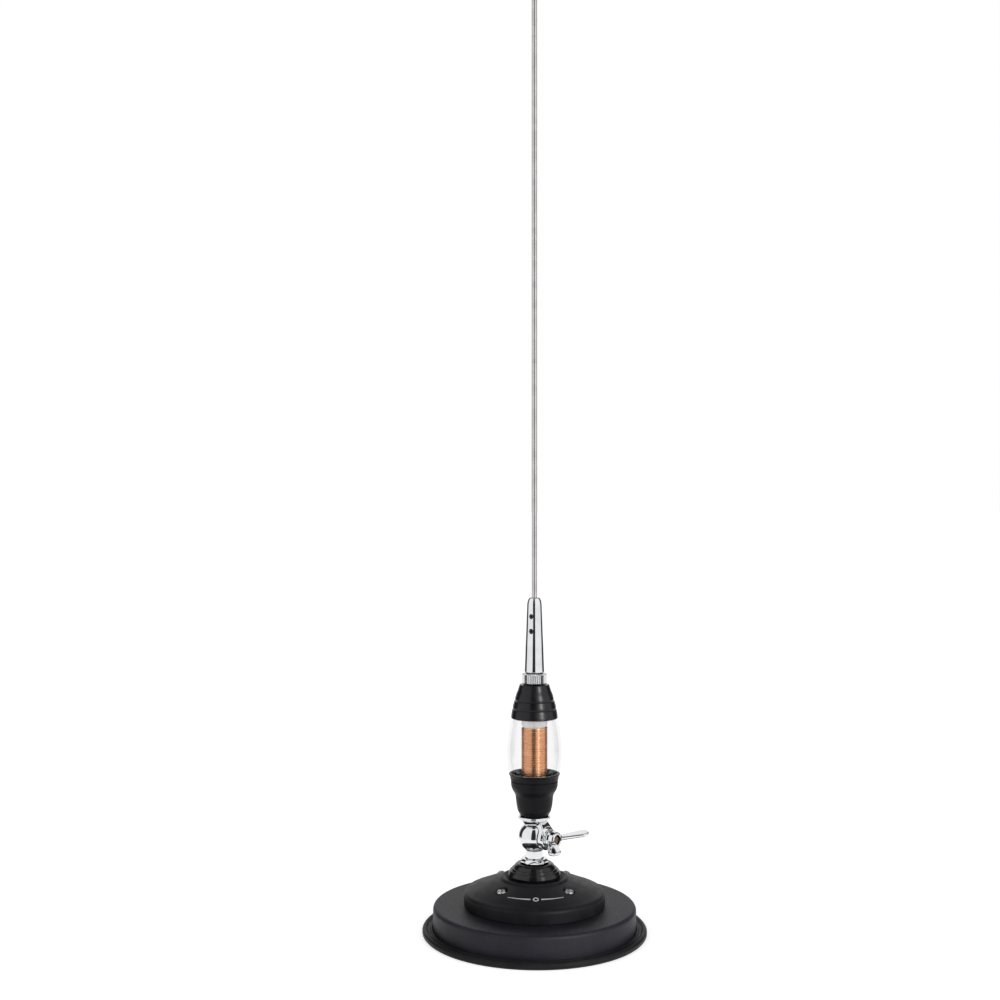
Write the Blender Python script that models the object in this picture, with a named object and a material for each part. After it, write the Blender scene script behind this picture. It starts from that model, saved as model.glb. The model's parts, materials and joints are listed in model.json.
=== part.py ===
"""Mobile whip antenna on a round magnetic base.

The origin is the centre of the base's underside, +Z runs up the whip, +Y points to the rear,
where the feed lead leaves. Lengths are written in millimetres and multiplied by MM.
Each moving body has an empty on its joint's axis, and its pieces are parented to that empty.
"""

import math

import bmesh
import bpy
from mathutils import Matrix, Vector

MM = 0.001
GAP = 0.3  # clearance between pieces that touch on the real object

# Magnetic base
BOOT_RADIUS = 72.5
BOOT_FLOOR = 1.0
CUP_RADIUS = 65.7
CUP_TOP = 18.2
CUP_WALL = 1.2
LID_RADIUS = 45.6
LID_TOP = 36.6
LID_SEAT = 34.9  # floor of the recess that the cone stands in
MAGNET_INNER = 34.0
MAGNET_OUTER = 58.0
SCREW_CIRCLE = 30.0  # radius of the circle the lid screws stand on
SCREW_SEAT = 30.9
SCREW_ANGLES = {"front_left": 225, "front_right": 315, "rear_left": 135, "rear_right": 45}

# Centre stud, cone and neck
STUD_RADIUS = 4.9
STUD_TIP_RADIUS = 3.0
CONE_TOP = 45.0
NUT_CORNER_RADIUS = 10.0
NECK_RADIUS = 5.7

# Tilt knuckle, whose pivot is level and points right and forward
PIVOT_HEIGHT = 61.9
PIVOT_HEADING = -38.0  # degrees about +Z, from +X
BALL_RADIUS = 10.2
BALL_FACE = 7.3  # distance along the pivot to the ball's flat face
SOCKET_RADIUS = 10.5
EAR_RADIUS = 7.4
EAR_OUTER = 11.4
BOLT_RADIUS = 3.0
BOLT_HOLE = 3.3
BOLT_HEAD_SEAT = -7.9
WASHER_FACES = (11.7, 12.7)
WING_BOSS_FACES = (13.0, 18.2)
WING_BOSS_RADIUS = 5.5
WING_LENGTH = 25.3
WING_SPREAD = 48.0  # degrees between each wing and the pivot axis
WING_REST_TURN = -76.0  # degrees about the pivot axis, from straight up
WING_HALF_WIDTH = 4.2
WING_THICKNESS = 2.3

# Loading coil
COLLAR_RADIUS = 10.4
COLLAR_TOP = 75.4
CUP_RIM_Z = 102.9
BULB_TOP = 138.2
COIL_RADIUS = 7.9  # to the centre of the wire
COIL_WIRE_RADIUS = 0.5
COIL_PITCH = 1.15
COIL_TURNS = 27
COIL_BOTTOM = 101.6
FORMER_RADIUS = 6.8
CAP_TOP = 160.3

# Whip and its holder
LOCK_RING_RADIUS = 8.0
LOCK_RING_FACES = (160.6, 167.6)
LOCK_RING_RIDGES = 20
HOLDER_BOTTOM = 167.9
HOLDER_TOP = 216.6
WHIP_RADIUS = 1.75
WHIP_BOTTOM = 186.0
WHIP_TOP = 787.0
GRUB_HEIGHTS = {"lower": 194.9, "upper": 204.6}
GRUB_HEADING = -116.0  # degrees about +Z, from +X

# Feed lead and its plug
CABLE_RADIUS = 2.4
CABLE_EXIT_Z = 21.5
PLUG_AXIS_Z = 9.4
PLUG_START = 88.0  # along +Y
SLEEVE_RADIUS = 9.0

COARSE, MEDIUM, FINE = 12, 20, 32  # sides of a round piece

FINISHES = {  # colour, roughness, metallic
    "rubber": ((0.012, 0.012, 0.014), 0.35, 0.0),
    "textured_paint": ((0.024, 0.025, 0.034), 0.55, 0.0),
    "satin_plastic": ((0.014, 0.014, 0.015), 0.42, 0.0),
    "gloss_plastic": ((0.010, 0.010, 0.012), 0.18, 0.0),
    "chrome": ((0.86, 0.87, 0.89), 0.06, 1.0),
    "steel": ((0.55, 0.55, 0.56), 0.30, 1.0),
    "brass": ((0.78, 0.58, 0.28), 0.28, 1.0),
    "copper": ((0.86, 0.42, 0.22), 0.25, 1.0),
    "ferrite": ((0.045, 0.045, 0.048), 0.60, 0.0),
    "white_plastic": ((0.86, 0.85, 0.80), 0.40, 0.0),
    "clear_plastic": ((0.96, 0.98, 1.00), 0.04, 0.0),
}

KNUCKLE = Vector((0, 0, PIVOT_HEIGHT)) * MM
# Local +Z runs along the pivot and local +X points up.
PIVOT_FRAME = (
    Matrix.Translation(KNUCKLE)
    @ Matrix.Rotation(math.radians(PIVOT_HEADING), 4, "Z")
    @ Matrix.Rotation(math.radians(90), 4, "Y")
    @ Matrix.Rotation(math.radians(180), 4, "Z")
)
# Local +Z of these two runs to the rear, along the lead.
REARWARD = Matrix.Rotation(math.radians(-90), 4, "X")
EXIT_FRAME = Matrix.Translation((0, 0, CABLE_EXIT_Z * MM)) @ REARWARD
PLUG_FRAME = Matrix.Translation((0, 0, PLUG_AXIS_Z * MM)) @ REARWARD


def clear_scene():
    for obj in list(bpy.data.objects):
        bpy.data.objects.remove(obj, do_unlink=True)


def finish(name):
    """The Principled material of one finish, made once."""
    found = bpy.data.materials.get(name)
    if found:
        return found
    colour, roughness, metallic = FINISHES[name]
    made = bpy.data.materials.new(name)
    made.use_nodes = True
    shader = made.node_tree.nodes["Principled BSDF"]
    shader.inputs["Base Color"].default_value = (*colour, 1)
    shader.inputs["Roughness"].default_value = roughness
    shader.inputs["Metallic"].default_value = metallic
    shader.inputs["Transmission Weight"].default_value = 1.0 if name == "clear_plastic" else 0.0
    return made


# ---- shapes ------------------------------------------------------------------------------


def arc(centre, radius, start, end, steps):
    """Points of a circular arc in the (radius, height) plane, from start to end degrees."""
    angles = [math.radians(start + (end - start) * i / steps) for i in range(steps + 1)]
    return [(centre[0] + radius * math.cos(a), centre[1] + radius * math.sin(a)) for a in angles]


def bezier(a, b, c, d, steps):
    """Points of a cubic Bezier curve from a to d, with handles b and c."""
    points = []
    for i in range(steps + 1):
        t = i / steps
        weights = ((1 - t) ** 3, 3 * t * (1 - t) ** 2, 3 * t * t * (1 - t), t**3)
        points.append(tuple(sum(w * p[k] for w, p in zip(weights, (a, b, c, d))) for k in (0, 1)))
    return points


def box_outline(inner, outer, low, high):
    """The section of a plain ring or, with inner 0, of a disc."""
    if inner:
        return [(inner, low), (outer, low), (outer, high), (inner, high)]
    return [(0, low), (outer, low), (outer, high), (0, high)]


def add_turned(mesh, outline, sides, place=Matrix.Identity(4)):
    """Spins an outline of (radius, height) in mm round local Z and adds it to a bmesh.

    An outline whose ends both lie on the axis stays open, and any other is closed into a ring.
    """
    before = set(mesh.verts)
    verts = [mesh.verts.new((r * MM, 0, z * MM)) for r, z in outline]
    edges = [mesh.edges.new(pair) for pair in zip(verts, verts[1:])]
    if outline[0][0] or outline[-1][0]:
        edges.append(mesh.edges.new((verts[-1], verts[0])))
    bmesh.ops.spin(
        mesh, geom=verts + edges, axis=(0, 0, 1), cent=(0, 0, 0), angle=math.tau, steps=sides, use_merge=True
    )
    made = [vert for vert in mesh.verts if vert not in before]
    bmesh.ops.transform(mesh, matrix=place, verts=made)
    bmesh.ops.remove_doubles(mesh, verts=made, dist=1e-7)


def as_object(name, mesh, finish_name, smooth_angle=35):
    """Turns a bmesh into a smooth-shaded object, with its faces pointing out."""
    bmesh.ops.recalc_face_normals(mesh, faces=mesh.faces)
    data = bpy.data.meshes.new(name)
    mesh.to_mesh(data)
    mesh.free()
    data.shade_smooth()
    data.set_sharp_from_angle(angle=math.radians(smooth_angle))
    data.materials.append(finish(finish_name))
    obj = bpy.data.objects.new(name, data)
    bpy.context.scene.collection.objects.link(obj)
    return obj


def turned(name, outline, sides, finish_name, place=Matrix.Identity(4)):
    mesh = bmesh.new()
    add_turned(mesh, outline, sides, place)
    return as_object(name, mesh, finish_name)


def helper(obj):
    """Marks a cutter, or a shape that a Boolean joins, so that it isn't a piece."""
    obj.hide_render = True
    obj.display_type = "WIRE"
    return obj


def boolean(obj, other, operation):
    modifier = obj.modifiers.new(operation.lower(), "BOOLEAN")
    modifier.operation = operation
    modifier.solver = "EXACT"
    modifier.object = helper(other)


def cut(obj, other):
    boolean(obj, other, "DIFFERENCE")


def join(obj, other):
    boolean(obj, other, "UNION")


def add_prism(mesh, outline, low, high, place=Matrix.Identity(4)):
    """Extrudes a closed outline of local (x, z) points in mm along local Y."""
    verts = [mesh.verts.new((x * MM, low * MM, z * MM)) for x, z in outline]
    face = mesh.faces.new(verts)
    pushed = bmesh.ops.extrude_face_region(mesh, geom=[face])["geom"]
    moved = [item for item in pushed if isinstance(item, bmesh.types.BMVert)]
    bmesh.ops.translate(mesh, vec=(0, (high - low) * MM, 0), verts=moved)
    bmesh.ops.transform(mesh, matrix=place, verts=verts + moved)


def add_box(mesh, low, high, place=Matrix.Identity(4)):
    size = Vector(high) - Vector(low)
    centre = (Vector(high) + Vector(low)) / 2
    fitted = place @ Matrix.Translation(centre * MM) @ Matrix.Diagonal((*(size * MM), 1))
    bmesh.ops.create_cube(mesh, size=1, matrix=fitted)


def hexagon(name, corner_radius, low, high, finish_name, place=Matrix.Identity(4)):
    mesh = bmesh.new()
    add_turned(mesh, box_outline(0, corner_radius, low, high), 6, place)
    return as_object(name, mesh, finish_name, smooth_angle=20)


def hex_nut(name, corner_radius, bore, faces, finish_name, top_taper):
    """A hexagon whose corners are turned down at both faces, with a plain bore."""
    low, high = faces
    flat_radius = corner_radius * math.cos(math.radians(30))
    nut = hexagon(name, corner_radius, low, high, finish_name)
    chamfer = [
        (0, low - GAP),
        (flat_radius - GAP, low - GAP),
        (corner_radius, low + 0.6),
        (corner_radius, high - top_taper),
        (flat_radius - 1.0, high + GAP),
        (0, high + GAP),
    ]
    boolean(nut, turned(name + "_chamfer", chamfer, MEDIUM, finish_name), "INTERSECT")
    cut(nut, turned(name + "_bore", box_outline(0, bore, low - 1, high + 1), COARSE, finish_name))
    return nut


def knurl(obj, ridges, depth, from_radius, axis_place=Matrix.Identity(4)):
    """Pulls every second row of outer points inwards, which leaves straight ridges."""
    to_axis = axis_place.inverted()
    step = math.tau / (2 * ridges)
    for vert in obj.data.vertices:
        local = to_axis @ vert.co
        radius = math.hypot(local.x, local.y)
        row = round(math.atan2(local.y, local.x) / step)
        if radius > from_radius * MM and row % 2:
            local.xy *= (radius - depth * MM) / radius
            vert.co = axis_place @ local


# ---- magnetic base -------------------------------------------------------------------------


def rubber_boot():
    """A tray under the magnet, with a soft lip that stands out all round."""
    outline = [(0, 0), (BOOT_RADIUS - 1.6, 0)]
    outline += arc((BOOT_RADIUS - 1.6, 1.6), 1.6, -60, 60, 4)
    outline += [(BOOT_RADIUS - 1.2, 3.9), (BOOT_RADIUS - 2.4, 4.4), (BOOT_RADIUS - 4.2, 3.9)]
    outline += [(CUP_RADIUS + 0.9, 3.6), (CUP_RADIUS + GAP, 3.3)]
    outline += [(CUP_RADIUS + GAP, BOOT_FLOOR), (0, BOOT_FLOOR)]
    return turned("rubber_boot", outline, FINE, "rubber")


def magnet_cup(screw_holes):
    """The pressed steel cup: open below, with a rounded top edge."""
    low = BOOT_FLOOR + GAP
    corner = 2.4
    inner_corner = corner - CUP_WALL
    centre = (CUP_RADIUS - 0.1 - corner, CUP_TOP - corner)
    outline = [(CUP_RADIUS, low)] + arc(centre, corner, 0, 90, 5)
    outline += [(9.0, CUP_TOP), (9.0, CUP_TOP - CUP_WALL)]
    outline += arc(centre, inner_corner, 90, 0, 4) + [(CUP_RADIUS - CUP_WALL - 0.1, low)]
    cup = turned("magnet_cup", outline, FINE, "textured_paint")
    cut(cup, screw_holes)
    return cup


def magnet_parts():
    top = CUP_TOP - CUP_WALL - GAP
    plate_low = BOOT_FLOOR + GAP
    plate_high = plate_low + 2.0
    magnet = box_outline(MAGNET_INNER, MAGNET_OUTER, plate_high + GAP, top)
    plate = box_outline(MAGNET_INNER - 4, MAGNET_OUTER + 2, plate_low, plate_high)
    return [
        turned("ring_magnet", magnet, FINE, "ferrite"),
        turned("pole_plate", plate, FINE, "steel"),
    ]


def screw_place(angle):
    heading = Matrix.Rotation(math.radians(angle), 4, "Z")
    return Matrix.Translation(heading @ Vector((SCREW_CIRCLE * MM, 0, 0)))


def at_screws(name, outline, sides):
    """One turned shape repeated at the four screws."""
    mesh = bmesh.new()
    for angle in SCREW_ANGLES.values():
        add_turned(mesh, outline, sides, screw_place(angle))
    return helper(as_object(name, mesh, "satin_plastic"))


def base_lid(screw_holes):
    """The moulded cover: a low rim, a shallow dome and a rounded ring round the cone's seat."""
    low = CUP_TOP + GAP
    dome_foot = (LID_RADIUS - 2.2, 27.1)
    dome_head = (22.4, 35.2)
    outer = [(LID_RADIUS, low)] + arc((LID_RADIUS - 2.6, 24.1), 2.6, 0, 60, 3)
    outer += bezier(dome_foot, (37.0, 30.0), (29.0, 33.0), dome_head, 5)
    collar = [(21.6, 36.2), (20.6, LID_TOP), (19.5, 36.3), (18.0, 35.4), (17.4, LID_SEAT)]
    seat = [(STUD_RADIUS + 0.4, LID_SEAT), (STUD_RADIUS + 0.4, LID_SEAT - 2), (16.8, LID_SEAT - 2)]
    inner = bezier((20.0, 34.0), (28.0, 29.6), (37.0, 25.0), (LID_RADIUS - 2.0, 22.4), 3)
    outline = outer + collar + seat + inner + [(LID_RADIUS - 2.0, low)]
    lid = turned("base_lid", outline, FINE, "satin_plastic")
    join(lid, at_screws("lid_bosses", box_outline(0, 5.2, low, 29.8), COARSE))
    cut(lid, screw_holes)
    cut(lid, turned("lid_exit", box_outline(0, 3.3, 33, 52), COARSE, "satin_plastic", EXIT_FRAME))
    return lid


def lid_screws():
    """Four pan-head screws with a cross recess, each its own piece."""
    seat = SCREW_SEAT + GAP
    outline = [(0, 13.5), (1.0, 13.5), (1.6, 15.0), (1.6, seat), (3.2, seat), (3.2, seat + 0.9)]
    outline += [(2.7, seat + 1.6), (1.6, seat + 2.1), (0, seat + 2.2)]
    made = []
    for corner, angle in SCREW_ANGLES.items():
        screw = turned("lid_screw_" + corner, outline, COARSE, "steel", screw_place(angle))
        for turn in (20, 110):
            slot = bmesh.new()
            place = screw_place(angle) @ Matrix.Rotation(math.radians(turn), 4, "Z")
            add_box(slot, (-1.7, -0.35, seat + 0.9), (1.7, 0.35, seat + 4), place)
            cut(screw, as_object(f"slot_{corner}_{turn}", slot, "steel"))
        made.append(screw)
    return made


def centre_stud_parts():
    """The threaded stud that carries the antenna, insulated from the cup, and its terminals."""
    stud = [(0, 9.0), (STUD_RADIUS - 0.5, 9.0), (STUD_RADIUS, 9.6), (STUD_RADIUS, 44.4)]
    stud += [(STUD_TIP_RADIUS, 44.6), (STUD_TIP_RADIUS, 50.8), (2.6, 51.2), (0, 51.2)]
    hole = STUD_RADIUS + GAP
    bush = [(hole, 16.2), (8.7, 16.2), (8.7, CUP_TOP + GAP), (13.0, CUP_TOP + GAP)]
    bush += [(13.0, 20.6), (hole, 20.6)]
    feed = turned("feed_terminal", box_outline(hole, 8.2, 24.0, 24.9), COARSE, "brass")
    tab = bmesh.new()
    add_box(tab, (-2.2, 7.0, 24.0), (2.2, 13.5, 24.9))
    join(feed, as_object("feed_tab", tab, "brass"))
    return [
        turned("centre_stud", stud, COARSE, "brass"),
        hex_nut("stud_nut", 8.6, hole, (10.6, 15.8), "brass", 0.6),
        turned("insulating_bush", bush, COARSE, "white_plastic"),
        feed,
    ]


def cone_boot():
    """The glossy insulating cone, with two shallow rings round it."""
    low = LID_SEAT + GAP
    bore = STUD_RADIUS + GAP
    outline = [(bore, low), (16.9, low), (17.0, 37.6), (16.6, 39.2), (15.5, 40.5), (15.2, 40.4)]
    outline += [(14.0, 42.0), (13.7, 41.9), (12.4, 43.9), (11.3, 44.8), (10.9, CONE_TOP), (bore, CONE_TOP)]
    return turned("cone_boot", outline, MEDIUM, "gloss_plastic")


# ---- feed lead ------------------------------------------------------------------------------


def coax_cable():
    """The short stretch of lead, from the stud's terminal to the plug."""
    curve = bpy.data.curves.new("coax_cable", "CURVE")
    curve.dimensions = "3D"
    curve.bevel_depth = CABLE_RADIUS * MM
    curve.bevel_resolution = 2
    curve.resolution_u = 5
    curve.use_fill_caps = True
    curve.materials.append(finish("rubber"))
    spline = curve.splines.new("BEZIER")
    path = [(15.5, 24.0, 6), (40.0, CABLE_EXIT_Z, 6), (60.0, CABLE_EXIT_Z, 11)]
    path += [(PLUG_START - 1, PLUG_AXIS_Z, 11), (PLUG_START + 8, PLUG_AXIS_Z, 3)]
    spline.bezier_points.add(len(path) - 1)
    for point, (along, height, reach) in zip(spline.bezier_points, path):
        point.co = Vector((0, along, height)) * MM
        point.handle_left = Vector((0, along - reach, height)) * MM
        point.handle_right = Vector((0, along + reach, height)) * MM
    spline.bezier_points[-2].handle_right = Vector((0, PLUG_START + 3, PLUG_AXIS_Z)) * MM
    obj = bpy.data.objects.new("coax_cable", curve)
    bpy.context.scene.collection.objects.link(obj)
    return obj


def cable_grommet():
    bore = CABLE_RADIUS + 0.15
    outline = [(bore, 41.5), (3.0, 41.5), (3.0, 50.0), (2.8, 52.5), (bore, 52.5)]
    return turned("cable_grommet", outline, COARSE, "rubber", EXIT_FRAME)


def plug_parts():
    """A UHF coaxial plug: body, insulator and centre pin. Its coupling sleeve turns on the body."""
    tail = PLUG_START
    bore = CABLE_RADIUS + GAP + 0.1
    body = [(bore, tail), (4.8, tail), (5.5, tail + 0.8), (5.5, tail + 9.0), (6.4, tail + 10.0)]
    body += [(6.4, tail + 30.0), (5.1, tail + 30.0), (5.1, tail + 12.0), (bore, tail + 12.0)]
    insulator = box_outline(2.3, 4.8, tail + 13.0, tail + 29.5)
    pin = [(0, tail + 13.5), (2.0, tail + 13.5), (2.0, tail + 36.6), (1.2, tail + 37.8), (0, tail + 38.0)]
    return [
        turned("plug_body", body, COARSE, "steel", PLUG_FRAME),
        turned("plug_insulator", insulator, COARSE, "white_plastic", PLUG_FRAME),
        turned("plug_pin", pin, COARSE, "brass", PLUG_FRAME),
    ]


def plug_sleeve():
    """The coupling sleeve, knurled over its rear half."""
    tail = PLUG_START + 13.0
    outline = [(6.8, tail), (8.4, tail), (SLEEVE_RADIUS, tail + 0.6), (SLEEVE_RADIUS, tail + 14.4)]
    outline += [(8.4, tail + 15.0), (8.1, tail + 15.4), (8.1, tail + 23.6), (7.7, tail + 24.0)]
    outline.append((6.8, tail + 24.0))
    sleeve = turned("plug_sleeve", outline, 2 * COARSE, "steel", PLUG_FRAME)
    knurl(sleeve, COARSE, 0.4, SLEEVE_RADIUS - 0.1, PLUG_FRAME)
    return sleeve


# ---- tilt knuckle ----------------------------------------------------------------------------


def base_hex_nut():
    return hex_nut("base_hex_nut", NUT_CORNER_RADIUS, NECK_RADIUS + 0.25, (45.3, 48.1), "chrome", 1.5)


def lower_knuckle():
    """The ball on its neck. Its right-hand side is cut flat, and the bolt's head sits in its left."""
    start = math.degrees(math.asin(BALL_FACE / BALL_RADIUS))
    head_rim = 5.2
    end = -math.degrees(math.acos(head_rim / BALL_RADIUS))
    outline = [(BOLT_HOLE, BALL_FACE)]
    outline += [(BOLT_HOLE, BOLT_HEAD_SEAT), (head_rim, BOLT_HEAD_SEAT)]
    outline += arc((0, 0), BALL_RADIUS, end, start, 10)
    ball = turned("lower_knuckle", outline, MEDIUM, "chrome", PIVOT_FRAME)
    bore = STUD_TIP_RADIUS + GAP
    neck = [(0, 56.0), (NECK_RADIUS, 56.0), (NECK_RADIUS, CONE_TOP + GAP), (bore, CONE_TOP + GAP)]
    neck += [(bore, 51.5), (0, 51.5)]
    join(ball, turned("knuckle_neck", neck[::-1], MEDIUM, "chrome"))
    return ball


def pivot_bolt():
    outline = [(0, -10.4), (2.6, -10.0), (4.4, -9.0), (4.8, -8.6), (4.8, BOLT_HEAD_SEAT - GAP)]
    outline += [(BOLT_RADIUS, BOLT_HEAD_SEAT - GAP), (BOLT_RADIUS, 17.0), (2.5, 17.4), (0, 17.4)]
    return turned("pivot_bolt", outline, COARSE, "steel", PIVOT_FRAME)


def clamp_washer():
    return turned("clamp_washer", box_outline(BOLT_HOLE, 6.2, *WASHER_FACES), COARSE, "chrome", PIVOT_FRAME)


def wing_outline():
    """One wing, in the plane of the pivot axis and the wing: (distance from the axis, along it)."""
    root = Vector((0, WING_BOSS_FACES[0]))
    spread = math.radians(WING_SPREAD)
    along = Vector((math.sin(spread), math.cos(spread)))
    across = Vector((math.cos(spread), -math.sin(spread)))
    tip = root + along * (WING_LENGTH - WING_HALF_WIDTH)
    outline = [Vector((3.8, 14.2)), Vector((5.6, 14.4)), root + along * 10 + across * 3.0]
    for i in range(9):
        turn = math.radians(i * 180 / 8)
        outline.append(tip + (across * math.cos(turn) + along * math.sin(turn)) * WING_HALF_WIDTH)
    outline += [root + along * 11 - across * 2.6, Vector((4.3, 19.4)), Vector((3.8, 17.4))]
    return outline


def wing_nut():
    """A round boss with two long wings that spread away from the knuckle."""
    place = PIVOT_FRAME @ Matrix.Rotation(math.radians(WING_REST_TURN), 4, "Z")
    low, high = WING_BOSS_FACES
    boss = [(BOLT_HOLE, low), (6.0, low), (6.2, low + 0.8), (WING_BOSS_RADIUS, low + 1.8)]
    boss += [(WING_BOSS_RADIUS, high - 0.6), (WING_BOSS_RADIUS - 0.6, high), (BOLT_HOLE, high)]
    nut = turned("wing_nut", boss, COARSE, "chrome", place)
    for side, mirrored in (("right", 1), ("left", -1)):
        wing = bmesh.new()
        outline = [(x * mirrored, z) for x, z in wing_outline()]
        add_prism(wing, outline, -WING_THICKNESS / 2, WING_THICKNESS / 2, place)
        join(nut, as_object("wing_" + side, wing, "chrome"))
    return nut


def ear_web():
    """The web between the ear and the collar: the hull of two short rows of points."""
    mesh = bmesh.new()
    inner = BALL_FACE + GAP
    for along in (inner, EAR_OUTER - 0.4):
        for turn in (-58, -30, 0, 30, 58):
            angle = math.radians(turn)
            point = (EAR_RADIUS * MM * math.cos(angle), EAR_RADIUS * MM * math.sin(angle), along * MM)
            mesh.verts.new(PIVOT_FRAME @ Vector(point))
    for along, half_width in ((inner, 4.6), (8.3, 3.6)):
        for side in (-half_width, half_width):
            mesh.verts.new(PIVOT_FRAME @ Vector((12.0 * MM, side * MM, along * MM)))
    bmesh.ops.convex_hull(mesh, input=mesh.verts)
    return as_object("ear_web", mesh, "chrome")


def upper_knuckle():
    """The collar under the coil: hollowed to clear the ball, with an ear down one side of it."""
    rim_z = 69.8
    socket_end = math.degrees(math.asin((rim_z - PIVOT_HEIGHT) / SOCKET_RADIUS))
    outline = arc((0, PIVOT_HEIGHT), SOCKET_RADIUS, 90, socket_end, 6)
    outline[0] = (0, PIVOT_HEIGHT + SOCKET_RADIUS)
    outline += [(7.6, rim_z), (7.7, 70.6), (9.4, 73.1), (COLLAR_RADIUS, 73.6), (COLLAR_RADIUS, 75.0)]
    outline += [(COLLAR_RADIUS - 0.3, COLLAR_TOP), (4.2, COLLAR_TOP), (4.2, 92.0), (3.8, 92.4), (0, 92.4)]
    collar = turned("upper_knuckle", outline, MEDIUM, "chrome")
    inner = BALL_FACE + GAP
    ear = [(BOLT_HOLE, inner), (EAR_RADIUS, inner), (EAR_RADIUS, EAR_OUTER - 1.2)]
    ear += [(EAR_RADIUS - 0.5, EAR_OUTER - 0.3), (EAR_RADIUS - 1.2, EAR_OUTER), (BOLT_HOLE, EAR_OUTER)]
    join(collar, turned("knuckle_ear", ear, MEDIUM, "chrome", PIVOT_FRAME))
    join(collar, ear_web())
    return collar


# ---- loading coil ----------------------------------------------------------------------------


def lower_cup():
    """The black cup under the bulb, stepped in below its rim."""
    low = COLLAR_TOP + GAP
    bore = 4.5
    outline = [(bore, low), (9.0, low), (10.8, 78.8), (11.2, 80.1), (11.6, 82.7), (12.1, 87.9), (12.3, 89.2)]
    outline += [(13.5, 91.2), (13.9, 91.8), (14.9, 94.4), (15.2, 97.9), (14.9, 98.3), (15.4, 98.9)]
    outline += [(15.9, 101.5), (16.6, CUP_RIM_Z), (15.3, CUP_RIM_Z), (15.3, 98.9), (9.0, 98.9), (9.0, 93.6)]
    outline += [(bore, 93.6)]
    return turned("lower_cup", outline, MEDIUM, "satin_plastic")


def clear_bulb():
    """The hollow clear barrel, with a thinner spigot at each end."""
    wall = 1.6
    spigot = 14.4
    low, high = CUP_RIM_Z + GAP, BULB_TOP
    outer = bezier((16.7, low), (18.0, 112.0), (18.2, 124.0), (15.5, high), 6)
    inside = bezier((16.0, low + 1), (18.0, 112.0), (18.0, 124.0), (15.2, high - 1), 4)
    inner = [(r - wall, z) for r, z in inside]
    outline = [(spigot, 99.6), (spigot, low)] + outer + [(13.4, high), (13.4, 141.0), (12.2, 141.0)]
    outline += inner[::-1] + [(spigot - 1.2, 99.6)]
    return turned("clear_bulb", outline, MEDIUM, "clear_plastic")


def bulb_seals():
    return [
        turned("lower_bulb_seal", box_outline(14.55, 15.15, 99.4, 101.2), MEDIUM, "rubber"),
        turned("upper_bulb_seal", box_outline(13.55, 14.1, 139.0, 140.6), MEDIUM, "rubber"),
    ]


def coil_former():
    """The white tube the coil is wound on, with a flanged foot and a thicker head."""
    bore = 5.0
    head = 8.3
    outline = [(bore, 96.2), (8.6, 96.2), (8.6, 99.6), (FORMER_RADIUS, 99.6), (FORMER_RADIUS, 133.5)]
    outline += [(head, 133.8), (head, 138.1), (FORMER_RADIUS, 138.4), (FORMER_RADIUS, 141.6), (bore, 141.6)]
    return turned("coil_former", outline, COARSE, "white_plastic")


def copper_coil():
    """The close-wound coil: one wire that rises by the pitch each turn."""
    per_turn = 11
    curve = bpy.data.curves.new("copper_coil", "CURVE")
    curve.dimensions = "3D"
    curve.twist_mode = "Z_UP"
    curve.bevel_depth = COIL_WIRE_RADIUS * MM
    curve.bevel_resolution = 0
    curve.use_fill_caps = True
    curve.materials.append(finish("copper"))
    spline = curve.splines.new("POLY")
    spline.points.add(per_turn * COIL_TURNS)
    for i, point in enumerate(spline.points):
        turns = i / per_turn
        turn = Matrix.Rotation(math.tau * turns, 4, "Z")
        place = turn @ Vector((COIL_RADIUS, 0, COIL_BOTTOM + COIL_PITCH * turns))
        point.co = (*(place * MM), 1)
    obj = bpy.data.objects.new("copper_coil", curve)
    bpy.context.scene.collection.objects.link(obj)
    return obj


def coil_terminals():
    """The brass discs that the ends of the winding are soldered to."""
    return [
        turned("lower_terminal", box_outline(0, 7.6, 94.2, 95.4), COARSE, "brass"),
        turned("upper_terminal", box_outline(3.4, 7.6, 142.4, 143.6), COARSE, "brass"),
    ]


def upper_cap():
    """The black cap on the bulb: three tapering tiers with a groove between each."""
    low = BULB_TOP + GAP
    bore = 3.4
    outline = [(13.9, low), (14.7, low), (15.1, 138.9), (15.0, 140.2), (14.7, 142.3), (14.4, 144.3)]
    outline += [(13.9, 144.7), (13.95, 146.2), (13.6, 147.5), (13.1, 149.7), (12.5, 150.2)]
    outline += [(12.5, 151.4), (11.8, 154.0), (10.7, 156.6), (9.9, 159.2), (9.6, CAP_TOP)]
    outline += [(bore, CAP_TOP), (bore, 151.0), (8.6, 151.0)]
    outline += [(8.6, 144.6), (11.8, 144.6), (11.8, 141.4), (14.3, 141.4), (14.3, low + 0.4)]
    return turned("upper_cap", outline, MEDIUM, "satin_plastic")


def top_stud():
    """The threaded stud that the whip holder screws on to."""
    outline = [(0, 142.0), (3.0, 142.0), (3.0, 145.2), (7.4, 145.2), (7.4, 150.6), (3.0, 150.6)]
    outline += [(3.0, 173.6), (2.6, 174.0), (0, 174.0)]
    return turned("top_stud", outline, COARSE, "brass")


# ---- whip -----------------------------------------------------------------------------------


def lock_ring():
    """The knurled ring that locks the whip holder."""
    low, high = LOCK_RING_FACES
    bore = 3.3
    shoulder = LOCK_RING_RADIUS - 0.7
    outline = [(bore, low), (shoulder, low), (LOCK_RING_RADIUS, low + 0.6), (LOCK_RING_RADIUS, high - 0.6)]
    outline += [(shoulder, high), (bore, high)]
    ring = turned("lock_ring", outline, 2 * LOCK_RING_RIDGES, "chrome")
    knurl(ring, LOCK_RING_RIDGES, 0.45, LOCK_RING_RADIUS - 0.1)
    return ring


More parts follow.
